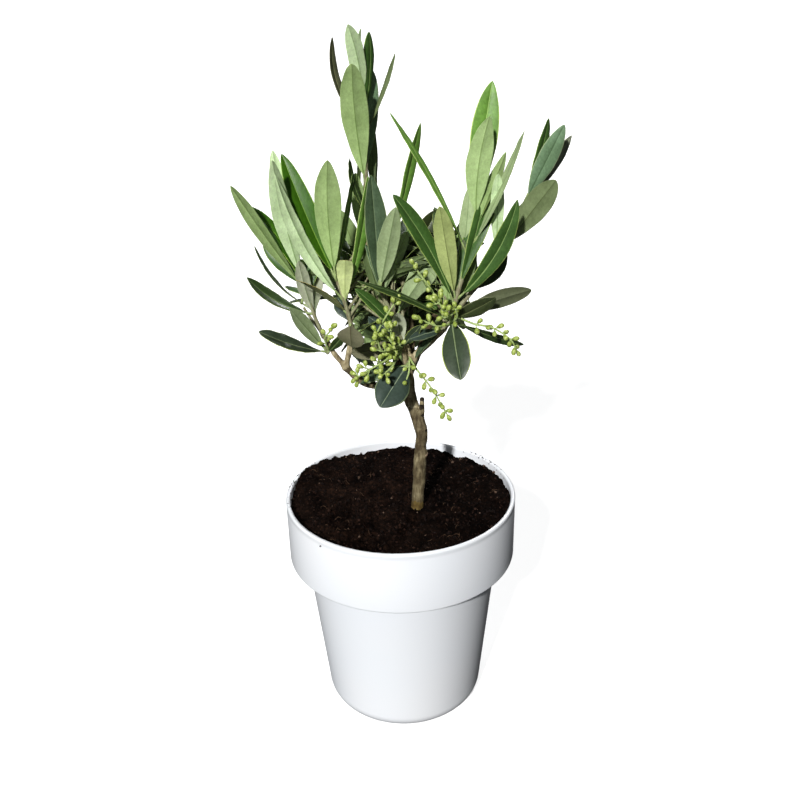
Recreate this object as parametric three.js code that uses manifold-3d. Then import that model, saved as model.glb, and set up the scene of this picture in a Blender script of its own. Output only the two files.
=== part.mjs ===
// A young olive tree in a round white pot with a broad collar.
//
// Frame: millimetres, +Z up. The origin is the centre of the pot's flat underside, +X is the plant's
// right and -Y its front. The pot is one spun shell, filled with potting soil. A short leaning trunk
// rises from the soil to a fork, where tapering boughs part and end inside the masses of foliage.
// A mass is the union of a thickened shoot and one fat blade for each of its leaves.

import * as THREE from 'three';
import { mergeVertices } from 'three/addons/utils/BufferGeometryUtils.js';
import Module from 'manifold-3d';

const wasm = await Module();
wasm.setup();

// ---- driving dimensions -------------------------------------------------------------------------

const GAP = 0.3; // clearance between pieces that meet
const MERGE = 1e-4; // vertices nearer than this are one

const POT_HEIGHT = 135;
const RIM_RADIUS = 65;
const RIM_WALL = 2.5; // width of the rim and of the collar's wall
const RIM_ROUND = [0.6, 1]; // width and height of the bevel on the rim's outer edge
const COLLAR_HEIGHT = 37.3;
const COLLAR_FOOT_RADIUS = 64.7;
const BODY_TOP_RADIUS = 55.4;
const BODY_FOOT_RADIUS = 46;
const FOOT_FILLET = 11;
const BODY_WALL = 1.5;
const POT_SEGMENTS = 36;
const FILLET_STEPS = 3;

const SOIL_LEVEL = POT_HEIGHT - 4;
const SOIL_FLOOR = BODY_WALL + GAP;
const SOIL_SIDE_GAP = [0.5, 0.4]; // clearance to the collar at its foot and at the soil's edge
const SOIL_SEGMENTS = 26;
const SOIL_RINGS = [56, 46, 36, 25, 12]; // radii of the rings of the soil's uneven top
const SOIL_RELIEF = 1.1; // height of its swells
const TRUNK_SEAT = 129.6; // height of the level patch of soil under the trunk
const SEAT_CENTRE = [9.7, -9];
const SEAT_RADIUS = 13; // how far the patch stays level
const SEAT_FADE = 14; // width of the slope round it

const LIMB_SIDES = 6;
const TRUNK_SIDES = 10;
const STEPS_PER_SPAN = 2; // rings for each span between two points of a limb; a mass's shoot has one
const HUB_RADIUS = 2.6; // thickness of a mass round its shoot
const HUB_TAPER = 0.25; // share of it lost by the shoot's tip
const FIRST_PAIR = 0.6; // place of the first pair of leaves on a back shoot, in spaces between pairs
const LOBE_SIDES = 4;
const LOBE_THICKNESS = 0.5; // of the leaf's width
const LOBE_ROOT = 4; // how far a blade starts back inside its shoot

// outline of a leaf: [share of its length, share of its half width]
const LEAF_OUTLINE = [[0, 0], [0.26, 0.8], [0.66, 0.92], [1, 0]];

// ---- limbs --------------------------------------------------------------------------------------
// Each limb is a path of points, with its radius at every point, from its foot to its tip.

const TRUNK = {
  path: [[9.3, -8.8, TRUNK_SEAT + GAP], [10, -8.4, 140], [11.2, -7.4, 158], [12, -6, 168],
         [12.1, -5, 176], [9.6, -3.6, 185], [6.4, -1.4, 195], [5.2, -1, 212]],
  radius: [3.5, 3.5, 3.7, 3.2, 3.6, 3.5, 3.5, 2.8],
};

const BOUGHS = {
  cut_stub: {
    path: [[12.2, -4.6, 180], [12.7, -5.2, 189], [12.9, -5.4, 195.5]],
    radius: [1.8, 1.4, 1.3],
  },
  bough_centre: {
    path: [[5.2, -1, 209], [4.6, 0.6, 222], [-2, 3.4, 241], [-9.4, 4.2, 259], [-13.4, 4, 276],
           [-14, 4, 292]],
    radius: [2.7, 2.5, 2.2, 2, 1.8, 1.6],
  },
  bough_left: {
    path: [[7, -1.6, 199], [-4, -4.4, 202], [-14, -6.4, 204.6], [-21, -7.8, 208.4], [-27.6, -8, 216.4]],
    radius: [2.3, 2.1, 1.9, 1.8, 1.7],
  },
  bough_left_up: {
    path: [[-27.2, -8, 216], [-24.4, -9, 228], [-23, -10, 239]],
    radius: [1.6, 1.5, 1.4],
  },
  bough_left_out: {
    path: [[-27.4, -8, 216.2], [-33.4, -7, 224], [-38, -6, 233]],
    radius: [1.5, 1.3, 1.2],
  },
  bough_right: {
    path: [[5.2, -1, 208], [10, -2, 219], [17.5, -4.4, 227.6], [25, -7, 236]],
    radius: [2.3, 2.1, 1.9, 1.8],
  },
  bough_front: {
    path: [[5, -1, 210], [4, -4, 219], [3, -6, 227]],
    radius: [1.7, 1.5, 1.4],
  },
  bough_back: {
    path: [[5.6, -1, 206], [8, 9, 220], [8, 18, 233]],
    radius: [2.1, 1.8, 1.5],
  },
  bough_back_left: {
    path: [[5.2, 0, 203], [-4, 10, 222], [-12, 18, 239]],
    radius: [1.9, 1.7, 1.4],
  },
  bough_back_right: {
    path: [[5.6, 0, 205], [15, 10, 224], [24, 17, 241]],
    radius: [1.9, 1.7, 1.4],
  },
};

// ---- foliage ------------------------------------------------------------------------------------
// A spray is a shoot, given by its path, and its leaves. A row of leaves is
// [share of the shoot, bearing, lift above level, length, width, roll of the upper face], in degrees
// and millimetres; bearing 0 is +X and 90 is +Y. pairs adds crossed pairs by rule, at an angle to the
// shoot that narrows from spread[0] at its foot to spread[1] at its tip.

const SPRAYS = {
  crown_top: {
    path: [[-14, 4, 292], [-13.5, 4, 310], [-12.5, 4.5, 338], [-13, 5, 348]],
    leaves: [
      [0.3, 259, 71, 64, 13.5, 19], [0.4, 71, 75, 50, 11.5, 35], [1, 243, 72, 39, 10, 47],
      [0.95, 46, 83, 36, 9, 95], [0.95, 92, 76, 38, 8, -105], [0.75, 337, 67, 41, 7.5, -150],
      [0.8, 160, 69, 45, 6, -15], [0.05, 180, 75, 29, 6, -27],
    ],
  },
  crown_left: {
    path: [[-23, -10, 238], [-26, -10, 252], [-31, -8, 268]],
    leaves: [
      [0.9, 269, 76, 65, 13.5, 10], [0.85, 156, 67, 68, 12, -38], [0.5, 194, 66, 74, 10, 119],
      [0.95, 51, 72, 51, 8, 115], [0.25, 206, 40, 36, 9, 15], [0.45, 281, 75, 26, 8.5, 0],
      [0.5, 0, 77, 65, 9, 129], [0.1, 273, -6, 26, 14, 166], [0.35, 95, 40, 44, 10, 0],
    ],
  },
  crown_left_out: {
    path: [[-38, -6, 232], [-42, -7, 244], [-47, -5, 262]],
    leaves: [
      [1, 232, 76, 67, 11, 68], [0.9, 143, 77, 70, 10, 145], [0.85, 205, 59, 68, 9.5, 118],
      [0.85, 164, 57, 51, 9, -23], [0.55, 153, 44, 44, 7, 19], [0.45, 172, 28, 39, 9, -27],
      [0.4, 79, 67, 34, 10, -144], [0.7, 80, 48, 46, 10, 0], [0.4, 206, 77, 32, 9, 110],
    ],
  },
  crown_left_low: {
    path: [[-36, -8.5, 224], [-38.5, -9, 229]],
    leaves: [[0.2, 203, 25, 40, 9, -31], [0.45, 227, 53, 36, 9, 97], [0.15, 338, 50, 16, 6, 123]],
  },
  crown_right: {
    path: [[30, -8, 249], [36, -3, 268], [41, 0, 284], [42, 1, 297]],
    leaves: [
      [1, 51, 79, 61, 14, 49], [0.85, 296, 78, 55, 13, -19], [0, 198, 62, 68, 11, -70],
      [0.05, 240, 72, 55, 11, 41], [0.05, 347, 60, 61, 10.5, 113], [0.6, 334, 67, 65, 9, -140],
      [0.7, 14, 68, 45, 9, -75], [0.5, 183, 63, 82, 6, -30], [0.15, 119, 60, 45, 10, -11],
      [0.8, 27, 57, 31, 6, 113], [0.2, 63, 75, 50, 9.5, 180], [0.05, 26, 65, 61, 12, 40],
      [0.15, 34, 70, 53, 9, 90],
    ],
  },
  crown_right_out: {
    path: [[33, -5, 247], [45.4, 1, 260], [58.5, 6, 277.5], [67, 8, 298]],
    leaves: [
      [1, 341, 65, 43, 10, 100], [1, 20, 73, 42, 9, 105], [1, 23, 50, 40, 8, 76],
      [0.6, 347, 55, 43, 14, -85], [0.15, 38, 30, 30, 10, 73], [0.6, 53, 28, 43, 10, 0],
      [0.25, 106, 17, 42, 10, 0], [0.48, 264, 78, 48, 7, 0],
    ],
  },
  crown_right_low: {
    path: [[24, -7, 235], [30, -7, 243]],
    leaves: [
      [1, 350, 21, 42, 10.5, -82], [0.8, 277, -41, 36, 15.5, 21], [0.7, 329, 32, 30, 10.5, 125],
      [0.7, 7, -24, 43, 8, 135], [0.6, 202, 29, 58, 7, -23], [0, 184, -45, 21, 8, -7],
      [0, 215, -2, 22, 6, -23],
    ],
  },
  crown_centre: {
    path: [[3, -6, 226], [0, -8, 240], [-8, -9, 258]],
    leaves: [
      [1, 164, 87, 59, 12.5, -52], [1, 305, 71, 49, 11, -36], [0.9, 28, 65, 35, 8, -92],
      [0.5, 26, 49, 42, 14, -100], [1, 173, 72, 25, 6, -17], [0.2, 192, 49, 36, 9, -40],
      [0.1, 192, -9, 27, 11, 140],
    ],
  },
  crown_middle: {
    path: [[3, 3, 236], [4, 8, 256], [0, 6, 280]],
    leaves: [
      [1, 345, 76, 61, 8, 151], [0.6, 80, 30, 42, 10, 0], [0.5, 10, 25, 34, 9, 0],
      [0.6, 17, 57, 37, 13, 85],
    ],
  },
  crown_drooping: {
    path: [[6, -5, 217], [5, -8, 214]],
    leaves: [[0.3, 236, -29, 31, 18, -26], [0.6, 180, -20, 29, 10, -25]],
  },
  crown_back: {
    path: [[8, 18, 232], [8, 34, 244], [6, 48, 250]],
    pairs: { count: 4, turn: 35, spread: [60, 36], length: [42, 50], width: 10.5 },
  },
  crown_back_left: {
    path: [[-12, 18, 238], [-18, 32, 252], [-23, 44, 263]],
    pairs: { count: 4, turn: 75, spread: [54, 30], length: [42, 52], width: 10.5 },
  },
  crown_back_right: {
    path: [[24, 17, 240], [25, 31, 252], [26, 44, 262]],
    pairs: { count: 4, turn: 30, spread: [46, 24], length: [42, 50], width: 10.5 },
  },
  crown_back_low: {
    path: [[8, 11, 221], [9, 24, 224], [10, 38, 228]],
    pairs: { count: 3, turn: 75, spread: [62, 36], length: [38, 44], width: 10 },
  },
};

// the back of the crown stays below a plane that falls away behind the plant
const BACK_CEILING = 284;
const BACK_FALL = 0.25;

// ---- materials ----------------------------------------------------------------------------------

function finish(color, roughness) {
  return () => new THREE.MeshStandardMaterial({ color, roughness, metalness: 0 });
}
const WHITE_ENAMEL = finish(0xe9eeee, 0.25);
const DARK_SOIL = finish(0x1d1511, 0.95);
const BARK = finish(0x6d6450, 0.85);
const FOLIAGE = finish(0x5f8247, 0.5);

// ---- solids -------------------------------------------------------------------------------------

// The closed solid of a geometry, with its shared vertices merged and its faces turned outward.
function solid(geometry) {
  const plain = new THREE.BufferGeometry();
  plain.setAttribute('position', geometry.getAttribute('position'));
  plain.setIndex(geometry.getIndex());
  const merged = mergeVertices(plain, MERGE);
  const at = merged.getAttribute('position').array;
  const triangles = [];
  let volume = 0;
  const index = merged.getIndex().array;
  for (let i = 0; i < index.length; i += 3) {
    const [a, b, c] = [index[i], index[i + 1], index[i + 2]];
    if (a === b || b === c || c === a) continue;
    triangles.push(a, b, c);
    const [p, q, r] = [a, b, c].map((k) => new THREE.Vector3().fromArray(at, 3 * k));
    volume += p.dot(q.cross(r));
  }
  if (volume < 0) triangles.reverse();
  return new wasm.Manifold(new wasm.Mesh({
    numProp: 3, vertProperties: Float32Array.from(at), triVerts: Uint32Array.from(triangles),
  }));
}

function toGeometry(shape) {
  const { vertProperties, triVerts } = shape.getMesh();
  const geometry = new THREE.BufferGeometry();
  geometry.setAttribute('position', new THREE.BufferAttribute(vertProperties, 3));
  return geometry.setIndex(new THREE.BufferAttribute(triVerts, 1));
}

// The body with the most volume, so that a piece cut in two keeps only its main part. Slivers that
// hang on by one merged vertex come apart in the second pass.
function mainBody(shape) {
  const larger = (best, body) => (body.volume() > best.volume() ? body : best);
  const largest = (whole) => whole.decompose().reduce(larger);
  return largest(solid(toGeometry(largest(shape))));
}

function toMesh(name, shape, material) {
  const mesh = new THREE.Mesh(toGeometry(shape), material());
  mesh.name = name;
  return mesh;
}

// A shape spun about +Z from a profile of [radius, height] points.
function spun(profile, segments) {
  const lathe = new THREE.LatheGeometry(profile.map(([r, z]) => new THREE.Vector2(r, z)), segments);
  return lathe.rotateX(Math.PI / 2);
}

function curveOf(path) {
  const points = path.map((p) => new THREE.Vector3(...p));
  return new THREE.CatmullRomCurve3(points, false, 'catmullrom', 0.5);
}

// A closed tapering tube on a path. Its rings lie level when level is true, else across the path.
function limb({ path, radius }, grow = 0, style = {}) {
  const { sides = LIMB_SIDES, level = false, stepsPerSpan = STEPS_PER_SPAN } = style;
  const curve = curveOf(path);
  const spans = path.length - 1;
  const tube = new THREE.CylinderGeometry(1, 1, 1, sides, spans * stepsPerSpan);
  const place = tube.getAttribute('position');
  const point = new THREE.Vector3();
  for (let i = 0; i < place.count; i += 1) {
    point.fromBufferAttribute(place, i);
    const t = point.y + 0.5;
    const span = Math.min(Math.floor(t * spans), spans - 1);
    const r = THREE.MathUtils.lerp(radius[span], radius[span + 1], t * spans - span) + grow;
    const along = level ? new THREE.Vector3(0, 0, 1) : curve.getTangent(t);
    const side = new THREE.Vector3(0, 1, 0).cross(along).normalize();
    const front = new THREE.Vector3().crossVectors(along, side);
    const centre = curve.getPoint(t).addScaledVector(along, grow * (2 * t - 1));
    centre.addScaledVector(side, point.x * r).addScaledVector(front, point.z * r);
    place.setXYZ(i, centre.x, centre.y, centre.z);
  }
  return solid(tube);
}

// ---- pot and soil -------------------------------------------------------------------------------

const COLLAR_FOOT = POT_HEIGHT - COLLAR_HEIGHT;

// Points of the rounded edge between the pot's floor and its wall.
function filletPoints(footRadius, floor, fillet) {
  return Array.from({ length: FILLET_STEPS + 1 }, (_, i) => {
    const angle = (i / FILLET_STEPS) * (Math.PI / 2);
    return [footRadius - fillet + fillet * Math.sin(angle), floor + fillet * (1 - Math.cos(angle))];
  });
}

function potShape() {
  const outside = [
    [0, 0],
    ...filletPoints(BODY_FOOT_RADIUS, 0, FOOT_FILLET),
    [BODY_TOP_RADIUS, COLLAR_FOOT],
    [COLLAR_FOOT_RADIUS, COLLAR_FOOT],
    [RIM_RADIUS, POT_HEIGHT - RIM_ROUND[1]],
    [RIM_RADIUS - RIM_ROUND[0], POT_HEIGHT],
  ];
  const inside = [
    ...filletPoints(BODY_FOOT_RADIUS - BODY_WALL, BODY_WALL, FOOT_FILLET - BODY_WALL),
    [BODY_TOP_RADIUS - BODY_WALL, COLLAR_FOOT + BODY_WALL],
    [COLLAR_FOOT_RADIUS - RIM_WALL, COLLAR_FOOT + BODY_WALL],
    [RIM_RADIUS - RIM_WALL, POT_HEIGHT],
  ].reverse();
  return solid(spun([...outside, ...inside, [0, BODY_WALL]], POT_SEGMENTS));
}

// Height of the soil's top over SOIL_LEVEL: slow swells that give way to the level seat round the trunk.
function soilRelief(x, y) {
  const swell = Math.sin(0.11 * x + 0.6) * Math.cos(0.13 * y - 0.4) + 0.5 * Math.sin(0.21 * x - 0.17 * y);
  const reach = Math.hypot(x - SEAT_CENTRE[0], y - SEAT_CENTRE[1]);
  const away = THREE.MathUtils.smoothstep(reach, SEAT_RADIUS, SEAT_RADIUS + SEAT_FADE);
  return THREE.MathUtils.lerp(TRUNK_SEAT - SOIL_LEVEL, SOIL_RELIEF * swell, away);
}

function soilShape() {
  const bodyWall = BODY_WALL + GAP;
  const [footGap, edgeGap] = SOIL_SIDE_GAP;
  const geometry = spun([
    [0, SOIL_FLOOR],
    ...filletPoints(BODY_FOOT_RADIUS - bodyWall, SOIL_FLOOR, FOOT_FILLET - bodyWall),
    [BODY_TOP_RADIUS - bodyWall, COLLAR_FOOT + BODY_WALL + GAP],
    [COLLAR_FOOT_RADIUS - RIM_WALL - footGap, COLLAR_FOOT + BODY_WALL + GAP],
    [RIM_RADIUS - RIM_WALL - edgeGap, SOIL_LEVEL],
    ...SOIL_RINGS.map((r) => [r, SOIL_LEVEL]),
    [0, SOIL_LEVEL],
  ], SOIL_SEGMENTS);
  const place = geometry.getAttribute('position');
  for (let i = 0; i < place.count; i += 1) {
    if (place.getZ(i) > SOIL_LEVEL - 0.01) {
      place.setZ(i, SOIL_LEVEL + soilRelief(place.getX(i), place.getY(i)));
    }
  }
  return solid(geometry);
}

// ---- leaves and masses --------------------------------------------------------------------------

const UP = new THREE.Vector3(0, 0, 1);
const radians = THREE.MathUtils.degToRad;
const flat = (vector, axis) => vector.clone().addScaledVector(axis, -vector.dot(axis)).normalize();

// A leaf of a row: its foot, its direction, the way its upper face looks, its length and its width.
function rowLeaf(curve, [share, bearing, lift, length, width, roll]) {
  const [b, l] = [radians(bearing), radians(lift)];
  const along = new THREE.Vector3(Math.cos(l) * Math.cos(b), Math.cos(l) * Math.sin(b), Math.sin(l));
  const face = flat(UP, along).applyAxisAngle(along, radians(roll));
  return { foot: curve.getPointAt(share), along, face, length, width };
}

// Crossed pairs of leaves up a shoot, each pair a quarter turn on from the last.
function pairLeaves(curve, { count, turn, spread, length, width }) {
  const leaves = [];
  for (let k = 0; k < count; k += 1) {
    const share = (k + FIRST_PAIR) / count;
    const rise = k / (count - 1);
    const foot = curve.getPointAt(share);
    const shoot = curve.getTangentAt(share);
    const open = radians(THREE.MathUtils.lerp(spread[0], spread[1], rise));
    for (const side of [0, 180]) {
      const out = flat(UP, shoot).applyAxisAngle(shoot, radians(turn + 90 * k + side));
      const along = shoot.clone().multiplyScalar(Math.cos(open)).addScaledVector(out, Math.sin(open));
      const reach = THREE.MathUtils.lerp(length[0], length[1], rise);
      const ceiling = BACK_CEILING - BACK_FALL * (foot.y + reach * along.y);
      along.z = Math.min(along.z, (ceiling - foot.z) / reach);
      along.normalize();
      leaves.push({ foot, along, face: flat(shoot, along), length: reach, width });
    }
  }
  return leaves;
}

// A fat blade: the leaf's outline, spun with few sides and pressed flat across its face.
function lobe({ foot, along, face, length, width }, grow) {
  const low = -LOBE_ROOT - grow;
  const reach = length + grow - low;
  const profile = LEAF_OUTLINE.map(([t, w]) => new THREE.Vector2(w, low + reach * t));
  const blade = new THREE.LatheGeometry(profile, LOBE_SIDES, Math.PI / 2);
  const side = new THREE.Vector3().crossVectors(along, face);
  const [halfWidth, halfThick] = [width / 2 + grow, (width * LOBE_THICKNESS) / 2 + grow];
  const place = new THREE.Matrix4().makeBasis(
    side.multiplyScalar(halfWidth), along, face.clone().multiplyScalar(halfThick),
  ).setPosition(foot);
  return solid(blade.applyMatrix4(place));
}

function massShape({ path, leaves = [], pairs }, grow = 0) {
  const curve = curveOf(path);
  const radius = path.map((_, i) => HUB_RADIUS * (1 - (HUB_TAPER * i) / path.length));
  const all = leaves.map((row) => rowLeaf(curve, row));
  if (pairs) all.push(...pairLeaves(curve, pairs));
  const shoot = limb({ path, radius }, grow, { stepsPerSpan: 1 });
  return all.reduce((mass, leaf) => mass.add(lobe(leaf, grow)), shoot);
}

// ---- the plant ----------------------------------------------------------------------------------

const tree = new THREE.Group();
tree.add(toMesh('pot', potShape(), WHITE_ENAMEL));
tree.add(toMesh('soil', soilShape(), DARK_SOIL));

// Each piece is cut back by those before it, grown by the gap.
const upright = { sides: TRUNK_SIDES, level: true };
let taken = limb(TRUNK, GAP, upright);
tree.add(toMesh('trunk', limb(TRUNK, 0, upright), BARK));

for (const [name, shape] of Object.entries(BOUGHS)) {
  tree.add(toMesh(name, mainBody(limb(shape).subtract(taken)), BARK));
  taken = taken.add(limb(shape, GAP));
}

for (const [name, spray] of Object.entries(SPRAYS)) {
  tree.add(toMesh(name, mainBody(massShape(spray).subtract(taken)), FOLIAGE));
  taken = taken.add(massShape(spray, GAP));
}

export default tree;
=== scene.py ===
"""A young olive tree in a white enamelled pot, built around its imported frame.

Lengths in the tables are millimetres and angles are degrees, in the row frame: +Z up, -Y towards the
camera. A Heap collects many small things in millimetres and turns them into one mesh in metres.
"""

import math
import random
from collections import namedtuple

import bpy
from mathutils import Matrix, Vector, noise


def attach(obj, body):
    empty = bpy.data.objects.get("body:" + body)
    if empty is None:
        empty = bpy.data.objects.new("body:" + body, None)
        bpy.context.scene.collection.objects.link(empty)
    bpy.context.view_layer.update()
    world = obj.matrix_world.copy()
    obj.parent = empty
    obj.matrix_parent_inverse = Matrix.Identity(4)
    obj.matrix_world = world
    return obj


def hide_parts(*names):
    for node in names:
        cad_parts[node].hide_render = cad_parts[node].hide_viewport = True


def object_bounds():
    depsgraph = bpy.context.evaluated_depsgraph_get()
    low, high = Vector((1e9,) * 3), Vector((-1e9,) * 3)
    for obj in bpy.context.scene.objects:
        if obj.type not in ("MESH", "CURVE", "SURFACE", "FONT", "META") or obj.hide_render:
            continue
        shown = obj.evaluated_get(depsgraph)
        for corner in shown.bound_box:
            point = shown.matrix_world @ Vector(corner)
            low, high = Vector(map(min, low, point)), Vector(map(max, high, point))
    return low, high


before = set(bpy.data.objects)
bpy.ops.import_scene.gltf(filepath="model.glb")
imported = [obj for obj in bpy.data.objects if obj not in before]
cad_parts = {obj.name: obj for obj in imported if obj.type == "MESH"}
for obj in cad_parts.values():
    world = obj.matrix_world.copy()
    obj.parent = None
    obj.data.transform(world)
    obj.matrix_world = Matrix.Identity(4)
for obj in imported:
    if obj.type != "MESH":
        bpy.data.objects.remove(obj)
CAD_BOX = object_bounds()

MM = 0.001
UP = Vector((0, 0, 1))

# ---- pot and soil ---------------------------------------------------------------------------------

POT_HEIGHT = 135
RIM_RADIUS = 65
RIM_WALL = 2.5
LIP_HEIGHT = 3.2  # the rolled lip at the top of the collar
COLLAR_FOOT = 97.7
COLLAR_FOOT_RADIUS = 64.7
BODY_TOP_RADIUS = 55.4
BODY_FOOT_RADIUS = 46
FOOT_FILLET = 11
BODY_WALL = 1.5
POT_SEGMENTS = 192

SOIL_LEVEL = 131
SOIL_EDGE = 62.2
SOIL_STEP = 0.55  # between the rings of its crumbly top
SOIL_SEGMENTS = 420
TRUNK_SEAT = 129.6  # the level patch that the trunk stands on
SEAT_CENTRE = (9.7, -9)
SEAT_RADIUS = 5
SEAT_FADE = 9
HEAP_CENTRE = (-54.5, 28)  # of the soil that is heaped up to the rim at the back left
HEAP_HEIGHT = 6.5
HEAP_SPREAD = 300
CRUMB_COUNT = 2600
RIM_CRUMB_COUNT = 150
RIM_CRUMB_BEARINGS = [160, 160, 168, 38, 30, 195]  # most of them at the back left and right
CLINGING_CRUMB = (-42.9, -49.1, 131.3)  # on the outside of the collar
FIBRE_COUNT = 220
FIBRE_RADII = [0.13, 0.16, 0.16, 0.15, 0.12, 0.06]
SOIL_SEED = 5

# ---- limbs ----------------------------------------------------------------------------------------
# Each limb: the points of its path, and its radius at each of them.

LIMBS = {
    "trunk": (
        [(9.2, -8.9, 127.5), (9.4, -8.8, 133), (10, -8.4, 140), (11.2, -7.4, 158), (12, -6, 168),
         (12.1, -5, 176), (9.6, -3.6, 185), (6.4, -1.4, 195), (5.2, -1, 212)],
        [3.3, 3.3, 3.5, 3.7, 3.2, 3.5, 3.3, 3.5, 2.8],
    ),
    "cut_stub": (
        [(12.2, -4.6, 179), (12.7, -5.2, 189), (12.9, -5.4, 195.5)],
        [1.9, 1.4, 1.25],
    ),
    "bough_centre": (
        [(5.2, -1, 209), (4.6, 0.6, 222), (-2, 3.4, 241), (-9.4, 4.2, 259), (-13.4, 4, 276), (-14, 4, 292)],
        [2.7, 2.5, 2.2, 2, 1.7, 1.5],
    ),
    "bough_left": (
        [(7, -1.6, 199), (-4, -4.4, 202), (-14, -6.4, 204.6), (-21, -7.8, 208.4), (-27.6, -8, 216.4)],
        [2.3, 2.1, 1.9, 1.8, 1.7],
    ),
    "bough_left_up": ([(-27.2, -8, 216), (-24.4, -9, 228), (-23, -10, 239)], [1.6, 1.5, 1.4]),
    "bough_left_out": ([(-27.4, -8, 216.2), (-33.4, -7, 224), (-38, -6, 233)], [1.5, 1.3, 1.2]),
    "bough_right": (
        [(5.2, -1, 208), (10, -2, 219), (17.5, -4.4, 227.6), (25, -7, 236)],
        [2.3, 2.1, 1.9, 1.8],
    ),
    "bough_front": ([(5, -1, 210), (4, -4, 219), (3, -6, 227)], [1.7, 1.5, 1.4]),
    "bough_back": ([(5.6, -1, 206), (8, 9, 220), (8, 18, 233)], [2.1, 1.8, 1.5]),
    "bough_back_left": ([(5.2, 0, 203), (-4, 10, 222), (-12, 18, 239)], [1.9, 1.7, 1.4]),
    "bough_back_right": ([(5.6, 0, 205), (15, 10, 224), (24, 17, 241)], [1.9, 1.7, 1.4]),
}

# swellings and scars on the wood: (place, reach, height); a scar has a negative height
KNOTS = [
    ((14.2, -8.8, 163), 2.1, 1.2),
    ((8, -9, 159.5), 2, 0.6),
    ((15, -7.4, 167), 1.6, -0.7),
    ((9.8, -8.4, 176.5), 2.2, 0.5),
    ((5, -5, 193), 2.8, 0.8),
    ((12, -8.4, 179), 1.5, -0.5),
    ((9.5, -9.8, 152), 2.5, 0.35),
    ((1.5, -3.4, 206), 2.6, 0.8),
    ((-16, -8, 206), 1.8, 0.8),
    ((-27.5, -9, 216), 2.6, 1),
    ((-11.5, 4, 268), 2, 0.8),
    ((17.5, -5, 228), 2.2, 0.8),
]

OLD, PALE_BARK, SCAR, DARK_BARK, FOOT = range(5)  # the barks, in the order of the table
BARKS = [
    ("bark", (82, 73, 56), (112, 104, 82), (140, 132, 108)),
    ("bark_pale", (130, 122, 96), (178, 170, 142), (212, 206, 180)),
    ("bark_scar", (150, 128, 108), (190, 168, 150), (216, 198, 182)),
    ("bark_dark", (30, 24, 18), (46, 38, 28), (66, 56, 42)),
    ("bark_foot", (84, 70, 36), (124, 108, 60), (152, 138, 88)),
]
YOUNG_LIMBS = ("bough_right", "bough_front", "bough_left_up", "bough_left_out", "bough_centre")
# patches of another bark: (bark, place, reach)
MARKS = [
    (PALE_BARK, (5.2, -1, 209), 7.5),
    (PALE_BARK, (6.5, -4, 204), 4),
    # painted light: pale bark on the trunk just below the fork, brightening the shade that the crown casts
    # there
    (PALE_BARK, (9, -4.5, 196.5), 7),
    (SCAR, (15.6, -9.4, 163), 1.3),
    # dark bark on the cut stub, at its top and down its side
    (DARK_BARK, (12.9, -6, 195.5), 1.7),
    (DARK_BARK, (12.8, -6, 190.5), 1.6),
    (DARK_BARK, (13.4, -6.4, 185.5), 1.2),
    # painted shadow: dark bark down the slit at the trunk's right side, where shade falls
    (DARK_BARK, (15, -7.4, 177), 0.9),
    (DARK_BARK, (15.2, -7.4, 173), 0.8),
    (FOOT, (9.4, -10.5, 130), 5),
]
WOOD_VOXEL = 0.42
CELL = 6  # of the grid that finds the nearest place on a limb

# ---- foliage --------------------------------------------------------------------------------------
# A spray is a shoot, given by its path, the radii at its two ends, and its leaves. A leaf is
# (share of the shoot, bearing, lift above level, length, width, roll of its upper face, kind,
#  bow, sweep): bow is how far its middle stands out towards its upper face, and sweep how far its
# middle lies to the side. A spray with pairs grows crossed pairs of leaves by rule instead.

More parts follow.
